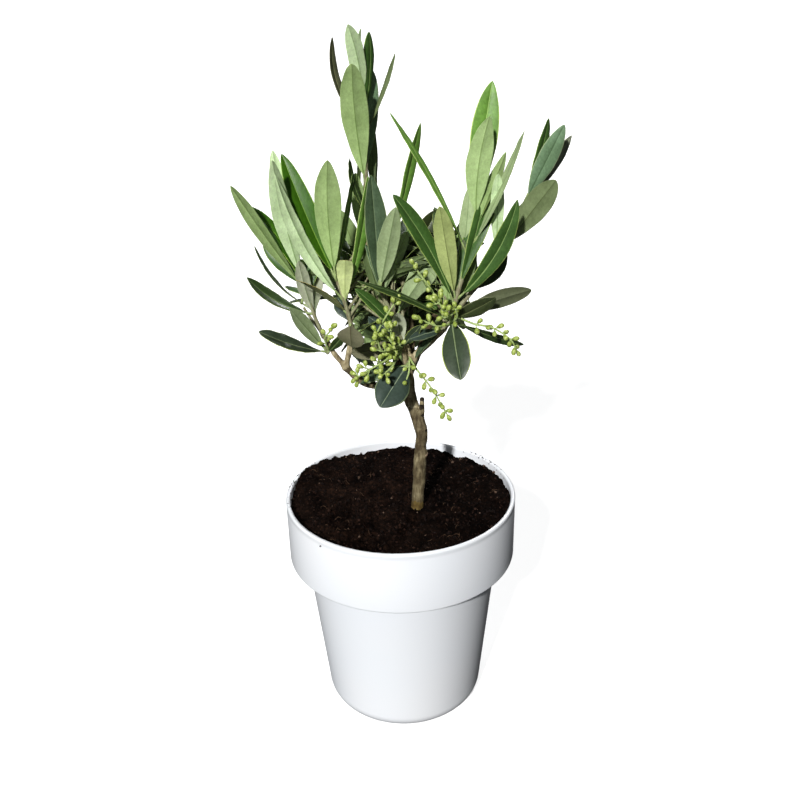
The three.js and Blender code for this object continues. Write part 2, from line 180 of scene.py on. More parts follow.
SPRAYS = {
    "crown_top": {
        "path": [(-14, 4, 292), (-13.5, 4, 310), (-12.5, 4.5, 338), (-13, 5, 348)],
        "radius": (1.4, 0.7),
        "leaves": [
            (0.3, 259, 71, 64, 13.5, 19, "pale", 3, 1),
            (0.4, 71, 75, 50, 11.5, 35, "sage", 2, -1.5),
            (1, 243, 72, 39, 9, 47, "mint", 1, -1.5),
            (0.95, 46, 83, 36, 8, 95, "green", 1, 1),
            (0.95, 92, 76, 38, 8, -105, "mint", 1, 0),
            (0.75, 337, 67, 41, 7.5, -150, "olive", 1, 2),
            (0.8, 160, 69, 45, 6, -15, "tan", -7, 0),
            (0.05, 180, 75, 29, 6, -27, "dark", -2.5, 1),
        ],
    },
    "crown_left": {
        "path": [(-23, -10, 238), (-26, -10, 252), (-31, -8, 268)],
        "radius": (1.3, 0.7),
        "leaves": [
            (0.9, 269, 76, 65, 13.5, 10, "pale", 2, 1.5),
            (0.85, 156, 67, 68, 12, -38, "lush", 2, -2),
            (0.5, 194, 66, 74, 10, 119, "mint", 2, 4),
            (0.95, 51, 72, 51, 8, 115, "pale", 1, 0),
            (0.25, 206, 40, 36, 9, 15, "rimmed", 2, 0),
            (0.45, 281, 75, 26, 8.5, 0, "cut", 1, 0),
            (0.5, 0, 77, 65, 9, 129, "bright", 2, 1),
            (0.1, 273, -6, 26, 14, 166, "tan", 1, 0),
            (0.35, 95, 40, 44, 10, 0, "green", 3, 0),
            (0.1, 124, 43, 16, 9, -20, "ink", 1, 0),
        ],
    },
    "crown_left_out": {
        "path": [(-38, -6, 232), (-42, -7, 244), (-47, -5, 262)],
        "radius": (1.2, 0.7),
        "leaves": [
            (1, 232, 76, 67, 11, 68, "mint", 1, 1),
            (0.9, 143, 77, 70, 10, 145, "mint", 1, 1),
            (0.85, 205, 59, 68, 9.5, 118, "pale", 1, 0),
            (0.85, 164, 57, 51, 9, -23, "lush", 3, 2),
            (0.55, 153, 44, 44, 7, 19, "dark", -5, 0),
            (0.45, 172, 28, 39, 9, -27, "dark", -5, 0),
            (0.4, 79, 67, 34, 10, -144, "ash", 1, 0),
            (0.7, 80, 48, 46, 10, 0, "green", 3, 0),
            (0.4, 206, 77, 32, 9, 110, "ash", 1, 0),
            (0.9, 159, 47, 32, 9, -60, "green", 2, 0),
        ],
    },
    "crown_left_low": {
        "path": [(-36, -8.5, 224), (-38.5, -9, 229)],
        "radius": (1, 0.8),
        "leaves": [
            (0.2, 203, 25, 40, 11, -31, "old", 1, -3),
            (0.45, 227, 53, 36, 9, 97, "grey", 1, 0),
            (0.15, 338, 50, 16, 6, 123, "dark", 1, 0),
        ],
    },
    "crown_right": {
        "path": [(30, -8, 249), (36, -3, 268), (41, 0, 284), (42, 1, 297)],
        "radius": (1.3, 0.8),
        "leaves": [
            (1, 51, 79, 61, 14, 49, "bright", 2, -1.5),
            (0.85, 296, 78, 55, 13, -19, "light", 2, 2),
            (0, 198, 62, 68, 11, -70, "green", 2, 2),
            (0.05, 240, 72, 55, 11, 41, "straw", 1, 0),
            (0.05, 347, 60, 61, 10.5, 113, "green", 1, 5),
            (0.6, 334, 67, 65, 9, -140, "grey", 2, 0),
            (0.7, 14, 68, 45, 9, -75, "pale", 1, 0),
            (0.5, 183, 63, 82, 6, -30, "bright", 2, 0),
            (0.15, 119, 60, 45, 10, -11, "dark", 2, 0),
            (0.8, 27, 57, 31, 6, 113, "dark", 1, 0),
            (0.2, 63, 75, 50, 9.5, 180, "grey", 1, 0),
            (0.05, 26, 65, 61, 12, 40, "green", 1, -3),
            (0.15, 34, 70, 53, 9, 90, "green", 1, 0),
        ],
    },
    "crown_right_out": {
        "path": [(33, -5, 247), (45.4, 1, 260), (58.5, 6, 277.5), (67, 8, 298)],
        "radius": (1.2, 0.7),
        "leaves": [
            (1, 341, 65, 43, 10, 100, "sage", 1, 0),
            (1, 20, 73, 42, 9, 105, "green", 1, 0),
            (1, 23, 50, 40, 8, 76, "ash", 1, 0),
            (0.6, 347, 55, 43, 14, -85, "olive", 1, 0),
            (0.15, 38, 30, 30, 10, 73, "dark", 1, 0),
            (0.6, 53, 28, 43, 10, 0, "green", 3, 0),
            (0.25, 106, 17, 42, 10, 0, "dark", 3, 0),
            (0.48, 264, 78, 48, 7, 0, "mint", 1, 0),
        ],
    },
    "crown_right_low": {
        "path": [(24, -7, 235), (30, -7, 243)],
        "radius": (1.6, 1.2),
        "leaves": [
            (1, 350, 21, 42, 10.5, -82, "drab", 1, 0),
            (0.8, 277, -41, 36, 15.5, 21, "old", 2, 0),
            (0.7, 329, 32, 30, 10.5, 125, "drab", 1, 0),
            (0.7, 7, -24, 43, 8, 135, "dark", 1, 0),
            (0.6, 202, 29, 58, 7, -23, "dark", 3, 0),
            (0, 184, -45, 21, 8, -7, "teal", 1, 0),
            (0, 215, -2, 22, 6.5, -23, "ink", 1, 0),
        ],
    },
    "crown_centre": {
        "path": [(3, -6, 226), (0, -8, 240), (-8, -9, 258)],
        "radius": (1.3, 0.8),
        "leaves": [
            (1, 164, 87, 59, 12.5, -52, "teal", 1, 0),
            (1, 305, 71, 49, 11, -36, "grey", 1, 0),
            (0.9, 28, 65, 35, 8, -92, "grey", 1, 0),
            (0.5, 26, 49, 42, 14, -100, "grey", 1, 0),
            (1, 173, 72, 25, 6, -17, "sage", 1, 0),
            (0.2, 192, 49, 36, 9, -40, "green", 2, 0),
            (0.1, 192, -9, 27, 11, 140, "tan", 2, 0),
            (0, 153, 32, 24, 12, -15, "ink", 2, 0),
            (0, 254, 67, 24, 8, 30, "ash", 1, 0),
            (0, 318, 49, 21, 6, 110, "old", 1, 0),
        ],
    },
    "crown_middle": {
        "path": [(3, 3, 236), (4, 8, 256), (0, 6, 280)],
        "radius": (1.3, 0.8),
        "leaves": [
            (1, 345, 76, 61, 8, 151, "bright", -2, 2),
            (0.6, 80, 30, 42, 10, 0, "green", 3, 0),
            (0.5, 10, 25, 34, 9, 0, "dark", 2, 0),
            (0.6, 17, 57, 37, 13, 85, "drab", 1, 0),
        ],
    },
    "crown_drooping": {
        "path": [(6, -5, 217), (5, -8, 214)],
        "radius": (0.9, 0.7),
        "leaves": [
            (0.3, 236, -29, 31, 18, -26, "ink", 1, 0),
            (0.6, 180, -20, 29, 10, -25, "teal", 3, 0),
        ],
    },
    "crown_back": {
        "path": [(8, 18, 232), (8, 34, 244), (6, 48, 250)],
        "radius": (1.4, 0.7),
        "pairs": {"count": 4, "turn": 35, "spread": (60, 36), "length": (42, 50), "width": 10.5},
    },
    "crown_back_left": {
        "path": [(-12, 18, 238), (-18, 32, 252), (-23, 44, 263)],
        "radius": (1.3, 0.7),
        "pairs": {"count": 4, "turn": 75, "spread": (54, 30), "length": (42, 52), "width": 10.5},
    },
    "crown_back_right": {
        "path": [(24, 17, 240), (25, 31, 252), (26, 44, 262)],
        "radius": (1.3, 0.7),
        "pairs": {"count": 4, "turn": 30, "spread": (46, 24), "length": (42, 50), "width": 10.5},
    },
    "crown_back_low": {
        "path": [(8, 11, 221), (9, 24, 224), (10, 38, 228)],
        "radius": (1.4, 0.7),
        "pairs": {"count": 3, "turn": 75, "spread": (62, 36), "length": (38, 44), "width": 10},
    },
}

PLANT_SEED = 11
BACK_CEILING = 284  # of the leaves that grow by rule, over y = 0
BACK_FALL = 0.25  # of that ceiling, towards the back
BACK_KINDS = ["green", "dark", "green", "bright"]
FIRST_PAIR = 0.6  # place of a shoot's lowest pair, in steps from one pair to the next

# side twigs with crossed pairs of leaves that fill the crown's inside: twigs, pairs on each, and the
# way that they lean
INSIDE = {
    "crown_left": (8, 3, (0.7, 0.3, 0)),
    "crown_left_out": (3, 3, (0, 0, 0.3)),
    "crown_right": (7, 3, (-0.4, 0, 0.2)),
    "crown_right_out": (2, 2, (-0.6, 0, 0)),
    "crown_right_low": (7, 3, (-0.3, 0.2, 0)),
    "crown_centre": (12, 3, (-0.5, 0.3, -0.1)),
    "crown_middle": (8, 3, (-0.1, 0, 0.2)),
    "crown_top": (2, 2, (0, 0, 0.3)),
    "crown_drooping": (4, 3, (-0.8, 0.3, 0.5)),
    "crown_back": (6, 3, (-0.2, 0, 0.3)),
    "crown_back_left": (6, 3, (0.3, 0, 0)),
    "crown_back_right": (6, 3, (-0.4, 0, 0)),
    "crown_back_low": (8, 3, (-0.5, 0, 0)),
}
INSIDE_KINDS = ["dark", "dark", "green", "old"]
INSIDE_CEILING = 352
INSIDE_DEPTH = 3  # that an inside leaf keeps behind the foot of its twig
# Where the crown is dense and where the sky shows through it, as ellipses in the plane y = 0 seen from
# the front: (centre x, centre z, half width, half height).
DENSE = [(10, 260, 46, 31), (-6, 232, 26, 30), (-38, 262, 22, 30), (40, 250, 17, 20), (-15, 320, 9, 30)]
SKY = [(-23.7, 295, 4, 13), (12, 314, 13, 16), (46.6, 279, 4.5, 12), (60, 306, 8, 20), (-35.4, 243, 5.5, 5),
       (-34, 212, 5, 9)]

# flower panicles: the mass that each belongs to, its stem, how many pairs of side stalks, the buds on
# each of them, and their reach
PANICLES = [
    ("crown_right_low",
     [(27, -9, 242), (24, -16, 249), (18, -19, 261), (12, -20, 270), (9.6, -20, 274)], 5, 1, 5),
    ("crown_right_low", [(28, -9, 241), (26, -17, 248), (21, -20, 255)], 3, 3, 4.5),
    ("crown_right_low", [(28, -9, 240), (31, -16, 245), (30, -19, 251)], 2, 2, 4),
    ("crown_right_low", [(28, -9, 239), (21, -17, 241), (12, -20, 246)], 4, 2, 4.5),
    ("crown_right_low",
     [(31, -9, 243), (40, -14, 240.5), (49, -16, 239), (58, -17, 233), (61.5, -17, 227)], 6, 1, 4.5),
    ("crown_centre", [(1, -9, 229), (-9, -17, 236), (-8, -20, 243), (0, -20, 256)], 5, 2, 4.5),
    ("crown_centre", [(3, -7, 226), (-2, -17, 231), (-3, -20, 241)], 3, 3, 4),
    ("crown_centre", [(2, -7, 225), (-7, -18, 228), (-10, -21, 236)], 3, 3, 4),
    ("crown_centre", [(2, -7, 224), (-8, -18, 222), (-17, -21, 218), (-21, -21, 215)], 4, 3, 4.5),
    ("crown_centre", [(2, -7, 223), (-3, -17, 219), (-7, -21, 217)], 2, 3, 4),
    ("crown_drooping", [(6.5, -4, 219), (10, -11, 215), (18, -15, 205), (25.5, -16, 191)], 6, 1, 4.5),
    ("crown_drooping", [(6.5, -5, 218), (6, -12, 214), (4, -15, 209)], 2, 2, 4),
    ("crown_left_low", [(-36, -8.5, 226), (-37, -12, 234), (-33, -15, 240)], 3, 2, 4),
]
BUD_LENGTH = 3.8
BUD_WIDTH = 2.6

# ---- view and light -------------------------------------------------------------------------------

CAMERA_PLACE = (0, -494.9, 420.9)
CAMERA_PITCH = 24.801  # downward
CAMERA_YAW = 0.113
CAMERA_ROLL = -1.366
CAMERA_LENS = 45
CAMERA_SENSOR = 36

KEY_BEARING = 17  # of the key light, to the left of the camera
KEY_LIFT = 33
KEY_POWER = 4.1
BACK_BEARING = 200  # of the light behind the plant, counted as the key's
BACK_LIFT = 38
BACK_POWER = 1.5
SUN_ANGLE = 3  # how wide both lights look, for soft edges to the shadows
STUDIO_STRENGTH = (0.26, 0.01)  # of the surroundings, on the left and on the right
FLOOR_GLOW = 0.62
FLOOR_HALF = 14  # in metres, as is the pale wall far round the stage
COVE_RADIUS = 12
COVE_HEIGHT = 14
COVE_SIDES = 48


# ---- small helpers --------------------------------------------------------------------------------

def colour(red, green, blue):
    """A display colour, 0 to 255, as the linear colour that a socket takes."""
    def linear(value):
        value /= 255
        return value / 12.92 if value <= 0.04045 else ((value + 0.055) / 1.055) ** 2.4
    return (linear(red), linear(green), linear(blue), 1)


def mix(a, b, share):
    return a + (b - a) * share


def smoothstep(low, high, value):
    t = min(1, max(0, (value - low) / (high - low)))
    return t * t * (3 - 2 * t)


def catmull(path, steps=12):
    """The Catmull-Rom curve through a path, as a line with that many steps to a span."""
    knots = [Vector(p) for p in path]
    knots = [2 * knots[0] - knots[1]] + knots + [2 * knots[-1] - knots[-2]]
    line = []
    for a, b, c, d in zip(knots, knots[1:], knots[2:], knots[3:]):
        for k in range(steps):
            t = k / steps
            cubic = -a + 3 * b - 3 * c + d
            line.append(0.5 * (2 * b + (c - a) * t + (2 * a - 5 * b + 4 * c - d) * t * t + cubic * t ** 3))
    line.append(knots[-2])
    return line


def along_line(line, share):
    """The point and the direction at a share of a line's length."""
    lengths = [(b - a).length for a, b in zip(line, line[1:])]
    left = share * sum(lengths)
    for a, b, length in zip(line, line[1:], lengths):
        if left <= length or b is line[-1]:
            return a.lerp(b, min(1, left / length)), (b - a).normalized()
        left -= length


def flat(vector, axis):
    """A vector with its part along the axis taken out, one long."""
    return (vector - axis * vector.dot(axis)).normalized()


def turned(vector, axis, degrees):
    return Matrix.Rotation(math.radians(degrees), 3, axis) @ vector


def on_circle(radius, angle):
    return radius * math.cos(angle), radius * math.sin(angle)


def all_round(count, shift=0):
    """That many angles, evenly round a circle; shift is the place of the first one, in steps."""
    return [2 * math.pi * (k + shift) / count for k in range(count)]


def ring(centre, side, front, radius, count):
    """Points round a centre, in the plane of two directions."""
    return [centre + radius * (math.cos(a) * side + math.sin(a) * front) for a in all_round(count)]


def level_ring(radius, height, angles):
    """Points round the pot's axis, at one height."""
    return [Vector((*on_circle(radius, angle), height)) for angle in angles]


def band(near, far, count, inward=False):
    """The faces between two closed rings of points, given by where each ring starts."""
    faces = []
    for k in range(count):
        after = (k + 1) % count
        quad = (near + k, near + after, far + after, far + k)
        faces.append((quad[0], *quad[:0:-1]) if inward else quad)
    return faces


def fan(start, tip, count, inward):
    """The faces between a closed ring of points and the one point that closes it."""
    edges = [(start + k, start + (k + 1) % count) for k in range(count)]
    return [(b, a, tip) if inward else (a, b, tip) for a, b in edges]


def stack(heap, first, rings, last, finish, inward=False):
    """A closed body: rings of points, one after the other, between two end points."""
    count = len(rings[0])
    points, faces = [first], fan(1, 0, count, not inward)
    for i, points_round in enumerate(rings):
        if i:
            faces += band(len(points) - count, len(points), count, inward)
        points += points_round
    faces += fan(len(points) - count, len(points), count, inward)
    heap.add(points + [last], faces, finish)


class Heap:
    """Many small things, each added as points, faces and the number of each face's material."""

    def __init__(self):
        self.points = []
        self.faces = []
        self.finishes = []

    def add(self, points, faces, finishes):
        start = len(self.points)
        self.points += points
        self.faces += [tuple(start + i for i in face) for face in faces]
        self.finishes += [finishes] * len(faces) if isinstance(finishes, int) else finishes

    def piece(self, name, materials, nodes, slot, smooth=True):
        """One object from the heap, which stands for those nodes."""
        mesh = bpy.data.meshes.new(name)
        mesh.from_pydata([p * MM for p in self.points], [], self.faces)
        mesh.polygons.foreach_set("material_index", self.finishes)
        mesh.polygons.foreach_set("use_smooth", [smooth] * len(self.faces))
        for material in materials:
            mesh.materials.append(material)
        mesh.validate()
        return place(bpy.data.objects.new(name, mesh), nodes)


def place(thing, nodes):
    """Link a piece, which rides on the root and stands for those nodes."""
    bpy.context.scene.collection.objects.link(thing)
    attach(thing, "root")
    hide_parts(*nodes)
    return thing


def tube(heap, line, radii, sides, finish):
    """A closed tube along a line, with a radius at each of its points and a blunt tip."""
    count = len(line)
    ahead = [(line[min(i + 1, count - 1)] - line[max(i - 1, 0)]).normalized() for i in range(count)]
    side = flat(Vector((1, 0.3, 0.1)), ahead[0])
    rings = []
    for point, onward, radius in zip(line, ahead, radii):
        side = flat(side, onward)
        rings.append(ring(point, side, onward.cross(side), radius, sides))
    stack(heap, line[0], rings, line[-1] + ahead[-1] * radii[-1] * 0.5, finish)


def blob(heap, centre, axis, length, width, finish, sides=10, steps=7, bulge=0):
    """An egg-shaped closed body on an axis; bulge moves its widest place towards the far end."""
    axis = axis.normalized()
    side = flat(Vector((0.31, 0.2, 1)), axis)
    front = axis.cross(side)
    rings = []
    for i in range(1, steps):
        angle = math.pi * i / steps
        radius = width / 2 * math.sin(angle) * (1 - bulge * math.cos(angle))
        rings.append(ring(centre - axis * (length / 2 * math.cos(angle)), side, front, radius, sides))
    stack(heap, centre - axis * length / 2, rings, centre + axis * length / 2, finish)


# ---- materials ------------------------------------------------------------------------------------

MIX_FACTOR, MIX_A, MIX_B, MIX_RESULT = 0, 6, 7, 2  # the colour sockets of a Mix node


class Paint:
    """A Principled material and the nodes that give its small-scale detail."""

    def __init__(self, name, base, roughness, specular):
        self.material = bpy.data.materials.new(name)
        self.material.use_nodes = True
        self.tree = self.material.node_tree
        self.shader = self.tree.nodes["Principled BSDF"]
        self.shader.inputs["Base Color"].default_value = base
        self.shader.inputs["Roughness"].default_value = roughness
        self.shader.inputs["Specular IOR Level"].default_value = specular
        self.coordinates = self.tree.nodes.new("ShaderNodeTexCoord").outputs["Object"]

    def node(self, kind, **inputs):
        """A new node, with a value or a link for each of the named inputs."""
        made = self.tree.nodes.new(kind)
        for name, value in inputs.items():
            socket = made.inputs[name.replace("_", " ")]
            if isinstance(value, bpy.types.NodeSocket):
                self.tree.links.new(value, socket)
            else:
                socket.default_value = value
        return made

    def stretched(self, scale):
        """The object's coordinates, scaled on each axis."""
        return self.node("ShaderNodeMapping", Vector=self.coordinates, Scale=scale).outputs["Vector"]

    def noise(self, scale, detail, rough, stretch=(1, 1, 1)):
        return self.node("ShaderNodeTexNoise", Vector=self.stretched(stretch), Scale=scale,
                         Detail=detail, Roughness=rough).outputs["Fac"]

    def ramp(self, value, *stops):
        """A colour ramp through (place, colour) stops."""
        made = self.node("ShaderNodeValToRGB", Fac=value)
        elements = made.color_ramp.elements
        while len(elements) < len(stops):
            elements.new(0.5)
        for element, (at, tone) in zip(elements, stops):
            element.position = at
            element.color = tone
        return made.outputs["Color"]

    def product(self, a, b):
        """Two colours multiplied."""
        made = self.node("ShaderNodeMix")
        made.data_type = "RGBA"
        made.blend_type = "MULTIPLY"
        made.inputs[MIX_FACTOR].default_value = 1
        self.tree.links.new(a, made.inputs[MIX_A])
        self.tree.links.new(b, made.inputs[MIX_B])
        return made.outputs[MIX_RESULT]

    def base(self, value):
        self.tree.links.new(value, self.shader.inputs["Base Color"])

    def roughness(self, value, low, high):
        made = self.node("ShaderNodeMapRange", Value=value, To_Min=low, To_Max=high)
        self.tree.links.new(made.outputs["Result"], self.shader.inputs["Roughness"])

    def bump(self, value, strength, distance):
        made = self.node("ShaderNodeBump", Height=value, Strength=strength, Distance=distance)
        self.tree.links.new(made.outputs["Normal"], self.shader.inputs["Normal"])


def shade(base, share):
    """A lighter or darker tone of a colour."""
    return tuple(min(1, c * share) for c in base[:3]) + (1,)


def leaf_paint(name, base, roughness, specular, mottle):
    """A leaf's skin: its colour, mottled finely and in slow patches, with a faint pebble."""
    paint = Paint(name, base, roughness, specular)
    spots = paint.noise(820, 6, 0.72, (1, 1, 0.7))
    patches = paint.noise(110, 3, 0.5)
    fine = paint.ramp(spots, (0.3, shade(base, 1 - mottle)), (0.5, base), (0.72, shade(base, 1 + mottle)))
    slow = paint.ramp(patches, (0.35, (0.86, 0.88, 0.84, 1)), (0.65, (1.1, 1.1, 1.12, 1)))
    paint.base(paint.product(fine, slow))
    paint.roughness(spots, roughness - 0.06, roughness + 0.12)
    paint.bump(paint.noise(1100, 4, 0.65), 0.35, 0.0003)
    return paint.material


# kind: upper face, underside, midrib above, midrib below, margin
LEAF_KINDS = {
    "mint": ((96, 134, 52), (203, 226, 176), (160, 182, 108), (152, 180, 122), (208, 224, 172)),
    "pale": ((70, 104, 40), (163, 189, 123), (148, 170, 100), (124, 150, 84), (190, 208, 140)),
    "straw": ((84, 108, 44), (173, 187, 117), (160, 172, 98), (120, 132, 74), (198, 204, 122)),
    "bright": ((104, 147, 59), (162, 190, 122), (150, 182, 96), (138, 164, 98), (190, 212, 126)),
    "lush": ((56, 99, 10), (156, 184, 112), (112, 150, 52), (126, 150, 84), (156, 184, 84)),
    "green": ((60, 92, 38), (150, 174, 114), (132, 160, 92), (122, 144, 82), (154, 176, 92)),
    "dark": ((48, 68, 30), (112, 130, 84), (110, 132, 78), (88, 104, 62), (134, 148, 78)),
    "grey": ((76, 96, 62), (157, 175, 129), (142, 158, 112), (120, 140, 94), (178, 190, 140)),
    "light": ((70, 104, 40), (172, 198, 134), (148, 170, 100), (130, 156, 90), (200, 216, 152)),
    "ash": ((110, 114, 98), (190, 196, 168), (142, 158, 112), (136, 150, 112), (190, 198, 156)),
    "sage": ((108, 136, 102), (144, 160, 120), (82, 108, 74), (112, 130, 92), (158, 176, 134)),
    "teal": ((72, 92, 66), (128, 144, 104), (112, 130, 96), (98, 114, 78), (134, 150, 104)),
    "old": ((53, 66, 47), (104, 118, 84), (126, 140, 100), (88, 102, 68), (172, 186, 96)),
    "ink": ((56, 70, 62), (108, 120, 92), (130, 144, 118), (92, 104, 76), (116, 130, 96)),
    "olive": ((54, 68, 32), (108, 122, 82), (112, 126, 74), (84, 96, 56), (134, 144, 88)),
    "drab": ((54, 64, 34), (86, 92, 66), (108, 116, 74), (68, 74, 48), (116, 120, 82)),
    "tan": ((84, 86, 62), (118, 116, 92), (120, 120, 84), (88, 84, 62), (130, 126, 92)),
    "rimmed": ((104, 112, 66), (112, 118, 78), (150, 150, 90), (90, 96, 56), (232, 206, 122)),
    "cut": ((207, 220, 152), (207, 220, 152), (214, 226, 162), (190, 204, 134), (186, 164, 92)),
}
UPPER, UNDER, RIB_UPPER, RIB_UNDER, MARGIN = range(5)  # the skins, in the order of the table
# name, roughness, specular, mottle
LEAF_SKINS = [
    ("upper", 0.4, 0.45, 0.3),
    ("under", 0.62, 0.25, 0.2),
    ("rib_upper", 0.42, 0.4, 0.08),
    ("rib_under", 0.6, 0.3, 0.08),
    ("margin", 0.45, 0.4, 0.08),
]
# powers of the blade's outline at its foot and its tip, where they aren't dealt by chance
OUTLINES = {"cut": (0.7, 0.2)}


def leaf_materials():
    """The materials of every kind of leaf, five to a kind, and where each kind's five start."""
    materials, start = [], {}
    for kind, tones in LEAF_KINDS.items():
        start[kind] = len(materials)
        for (skin, *finish), tone in zip(LEAF_SKINS, tones):
            materials.append(leaf_paint(f"leaf_{kind}_{skin}", colour(*tone), *finish))
    return materials, start


def bark_material(name, dark, middle, light):
    """Bark: lengthwise streaks of three tones under slow patches."""
    paint = Paint(name, middle, 0.82, 0.25)
    streaks = paint.noise(700, 6, 0.65, (1, 1, 0.22))
    patches = paint.noise(150, 4, 0.6)
    fine = paint.ramp(streaks, (0.36, dark), (0.5, middle), (0.64, light))
    broad = paint.ramp(patches, (0.36, colour(170, 158, 140)), (0.62, colour(255, 250, 238)))
    paint.base(paint.product(fine, broad))
    paint.roughness(streaks, 0.72, 0.95)
    paint.bump(streaks, 0.3, 0.0003)
    return paint.material


def shoot_material(name, light, dark):
    """Young wood and stalks: pale, with fine lengthwise streaks."""
    paint = Paint(name, light, 0.6, 0.35)
    streaks = paint.noise(900, 4, 0.6, (1, 1, 0.3))
    paint.base(paint.ramp(streaks, (0.35, dark), (0.62, light)))
    paint.roughness(streaks, 0.5, 0.72)
    paint.bump(streaks, 0.25, 0.0002)
    return paint.material


def enamel_material():
    """White enamel, with the slow ripple of a dipped coat."""
    paint = Paint("pot_enamel", colour(237, 240, 245), 0.26, 0.5)
    cloud = paint.noise(14, 2, 0.4)
    paint.base(paint.ramp(cloud, (0.3, colour(235, 239, 245)), (0.7, colour(239, 241, 245))))
    paint.roughness(cloud, 0.26, 0.32)
    paint.shader.inputs["Coat Weight"].default_value = 0.3
    paint.shader.inputs["Coat Roughness"].default_value = 0.12
    return paint.material


def soil_material():
    """Potting soil: fine grains under slow patches, and painted shade that darkens it to the right of the
    trunk.
    """
    paint = Paint("soil", colour(24, 18, 14), 0.95, 0.02)
    grains = paint.noise(520, 6, 0.7)
    fine = paint.ramp(grains, (0.3, colour(6, 4, 3)), (0.52, colour(26, 17, 13)),
                      (0.68, colour(52, 35, 26)), (0.8, colour(68, 48, 37)))
    patches = paint.noise(70, 4, 0.6)
    broad = paint.ramp(patches, (0.38, (0.25, 0.25, 0.28, 1)), (0.62, (1, 1, 1, 1)))
    # painted shade: towards the right the soil darkens to half, as where it lies in shadow beside the trunk
    across = paint.node("ShaderNodeSeparateXYZ", Vector=paint.coordinates).outputs["X"]
    edge = SOIL_EDGE * MM
    share = paint.node("ShaderNodeMapRange", Value=across, From_Min=-edge, From_Max=edge)
    painted_shade = paint.ramp(share.outputs["Result"], (0.45, (1, 1, 1, 1)), (0.7, (0.5, 0.5, 0.5, 1)))
    paint.base(paint.product(paint.product(fine, broad), painted_shade))
    paint.roughness(grains, 0.8, 1)
    paint.bump(paint.noise(1400, 4, 0.7), 0.8, 0.0006)
    return paint.material


def crumb_material(name, low, high):
    """Crumbs and root fibres: two tones, finely mixed."""
    paint = Paint(name, high, 0.85, 0.12)
    grains = paint.noise(900, 4, 0.6)
    paint.base(paint.ramp(grains, (0.35, low), (0.65, high)))
    paint.bump(grains, 0.6, 0.0003)
    return paint.material


def bud_material():
    """Flower buds: pale yellow-green, mottled at random through tones that are partly their own colour and
    partly painted shade and painted highlight.
    """
    paint = Paint("bud", colour(164, 182, 92), 0.42, 0.4)
    spots = paint.noise(700, 4, 0.6)
    # painted shade and painted highlight: the darkest and palest stops of the ramp, dealt at random
    paint.base(paint.ramp(spots, (0.32, colour(112, 134, 44)), (0.5, colour(156, 174, 80)),
                          (0.68, colour(206, 216, 144))))
    paint.roughness(spots, 0.36, 0.52)
    return paint.material


# ---- pot ------------------------------------------------------------------------------------------

def arc(centre, radius, start, end, steps):
    """Points of an arc in the profile plane, from one angle to another."""
    angles = [math.radians(mix(start, end, i / steps)) for i in range(steps + 1)]
    return [(centre[0] + radius * math.cos(a), centre[1] + radius * math.sin(a)) for a in angles]


def pot_profile():
    """The pot's section: up the outside, over the rolled lip and down the inside."""
    lip = RIM_WALL / 2
    lip_centre = (RIM_RADIUS - lip, POT_HEIGHT - lip)
    foot_centre = (BODY_FOOT_RADIUS - FOOT_FILLET, FOOT_FILLET)
    inner_foot = FOOT_FILLET - BODY_WALL
    collar_round = 1.6
    inside_collar = COLLAR_FOOT_RADIUS - RIM_WALL
    inside_rim = RIM_RADIUS - RIM_WALL
    skirt = RIM_RADIUS - 0.1  # the collar just under the lip, and the shallow groove between them
    groove = RIM_RADIUS - 0.26
    lip_foot = POT_HEIGHT - LIP_HEIGHT
    return [
        (0, 0),
        (BODY_FOOT_RADIUS - FOOT_FILLET - 3, 0),
        *arc(foot_centre, FOOT_FILLET, -90, -3, 14),
        (BODY_TOP_RADIUS - 0.6, COLLAR_FOOT - 4),
        (BODY_TOP_RADIUS, COLLAR_FOOT - 0.6),
        (BODY_TOP_RADIUS + 0.7, COLLAR_FOOT),
        (COLLAR_FOOT_RADIUS - collar_round, COLLAR_FOOT),
        *arc((COLLAR_FOOT_RADIUS - collar_round, COLLAR_FOOT + collar_round), collar_round, -80, 0, 5),
        (COLLAR_FOOT_RADIUS + 0.05, COLLAR_FOOT + 12),
        (skirt, lip_foot - 0.9),
        (groove, lip_foot),
        (skirt, lip_foot + 0.7),
        *arc(lip_centre, lip, -10, 190, 12),
        (inside_rim, lip_foot + 0.3),
        (inside_rim - 0.1, lip_foot - 1),
        (inside_collar, COLLAR_FOOT + BODY_WALL + 1.4),
        (inside_collar - 1.2, COLLAR_FOOT + BODY_WALL),
        (BODY_TOP_RADIUS - BODY_WALL + 0.7, COLLAR_FOOT + BODY_WALL),
        (BODY_TOP_RADIUS - BODY_WALL, COLLAR_FOOT + BODY_WALL - 1),
        *reversed(arc(foot_centre, inner_foot, -90, -3, 8)),
        (0, BODY_WALL),
    ]


def spin(heap, profile, segments, finish):
    """A closed body of revolution from a profile that starts and ends on the axis."""
    first, *between, last = profile
    rings = [level_ring(radius, height, all_round(segments)) for radius, height in between]
    stack(heap, UP * first[1], rings, UP * last[1], finish)


def build_pot():
    heap = Heap()
    spin(heap, pot_profile(), POT_SEGMENTS, 0)
    heap.piece("pot_shell", [enamel_material()], ["pot"], "pot_enamel")


# ---- soil -----------------------------------------------------------------------------------------

def bumps(x, y, scale, seed):
    return noise.noise(Vector((x * scale, y * scale, seed)))


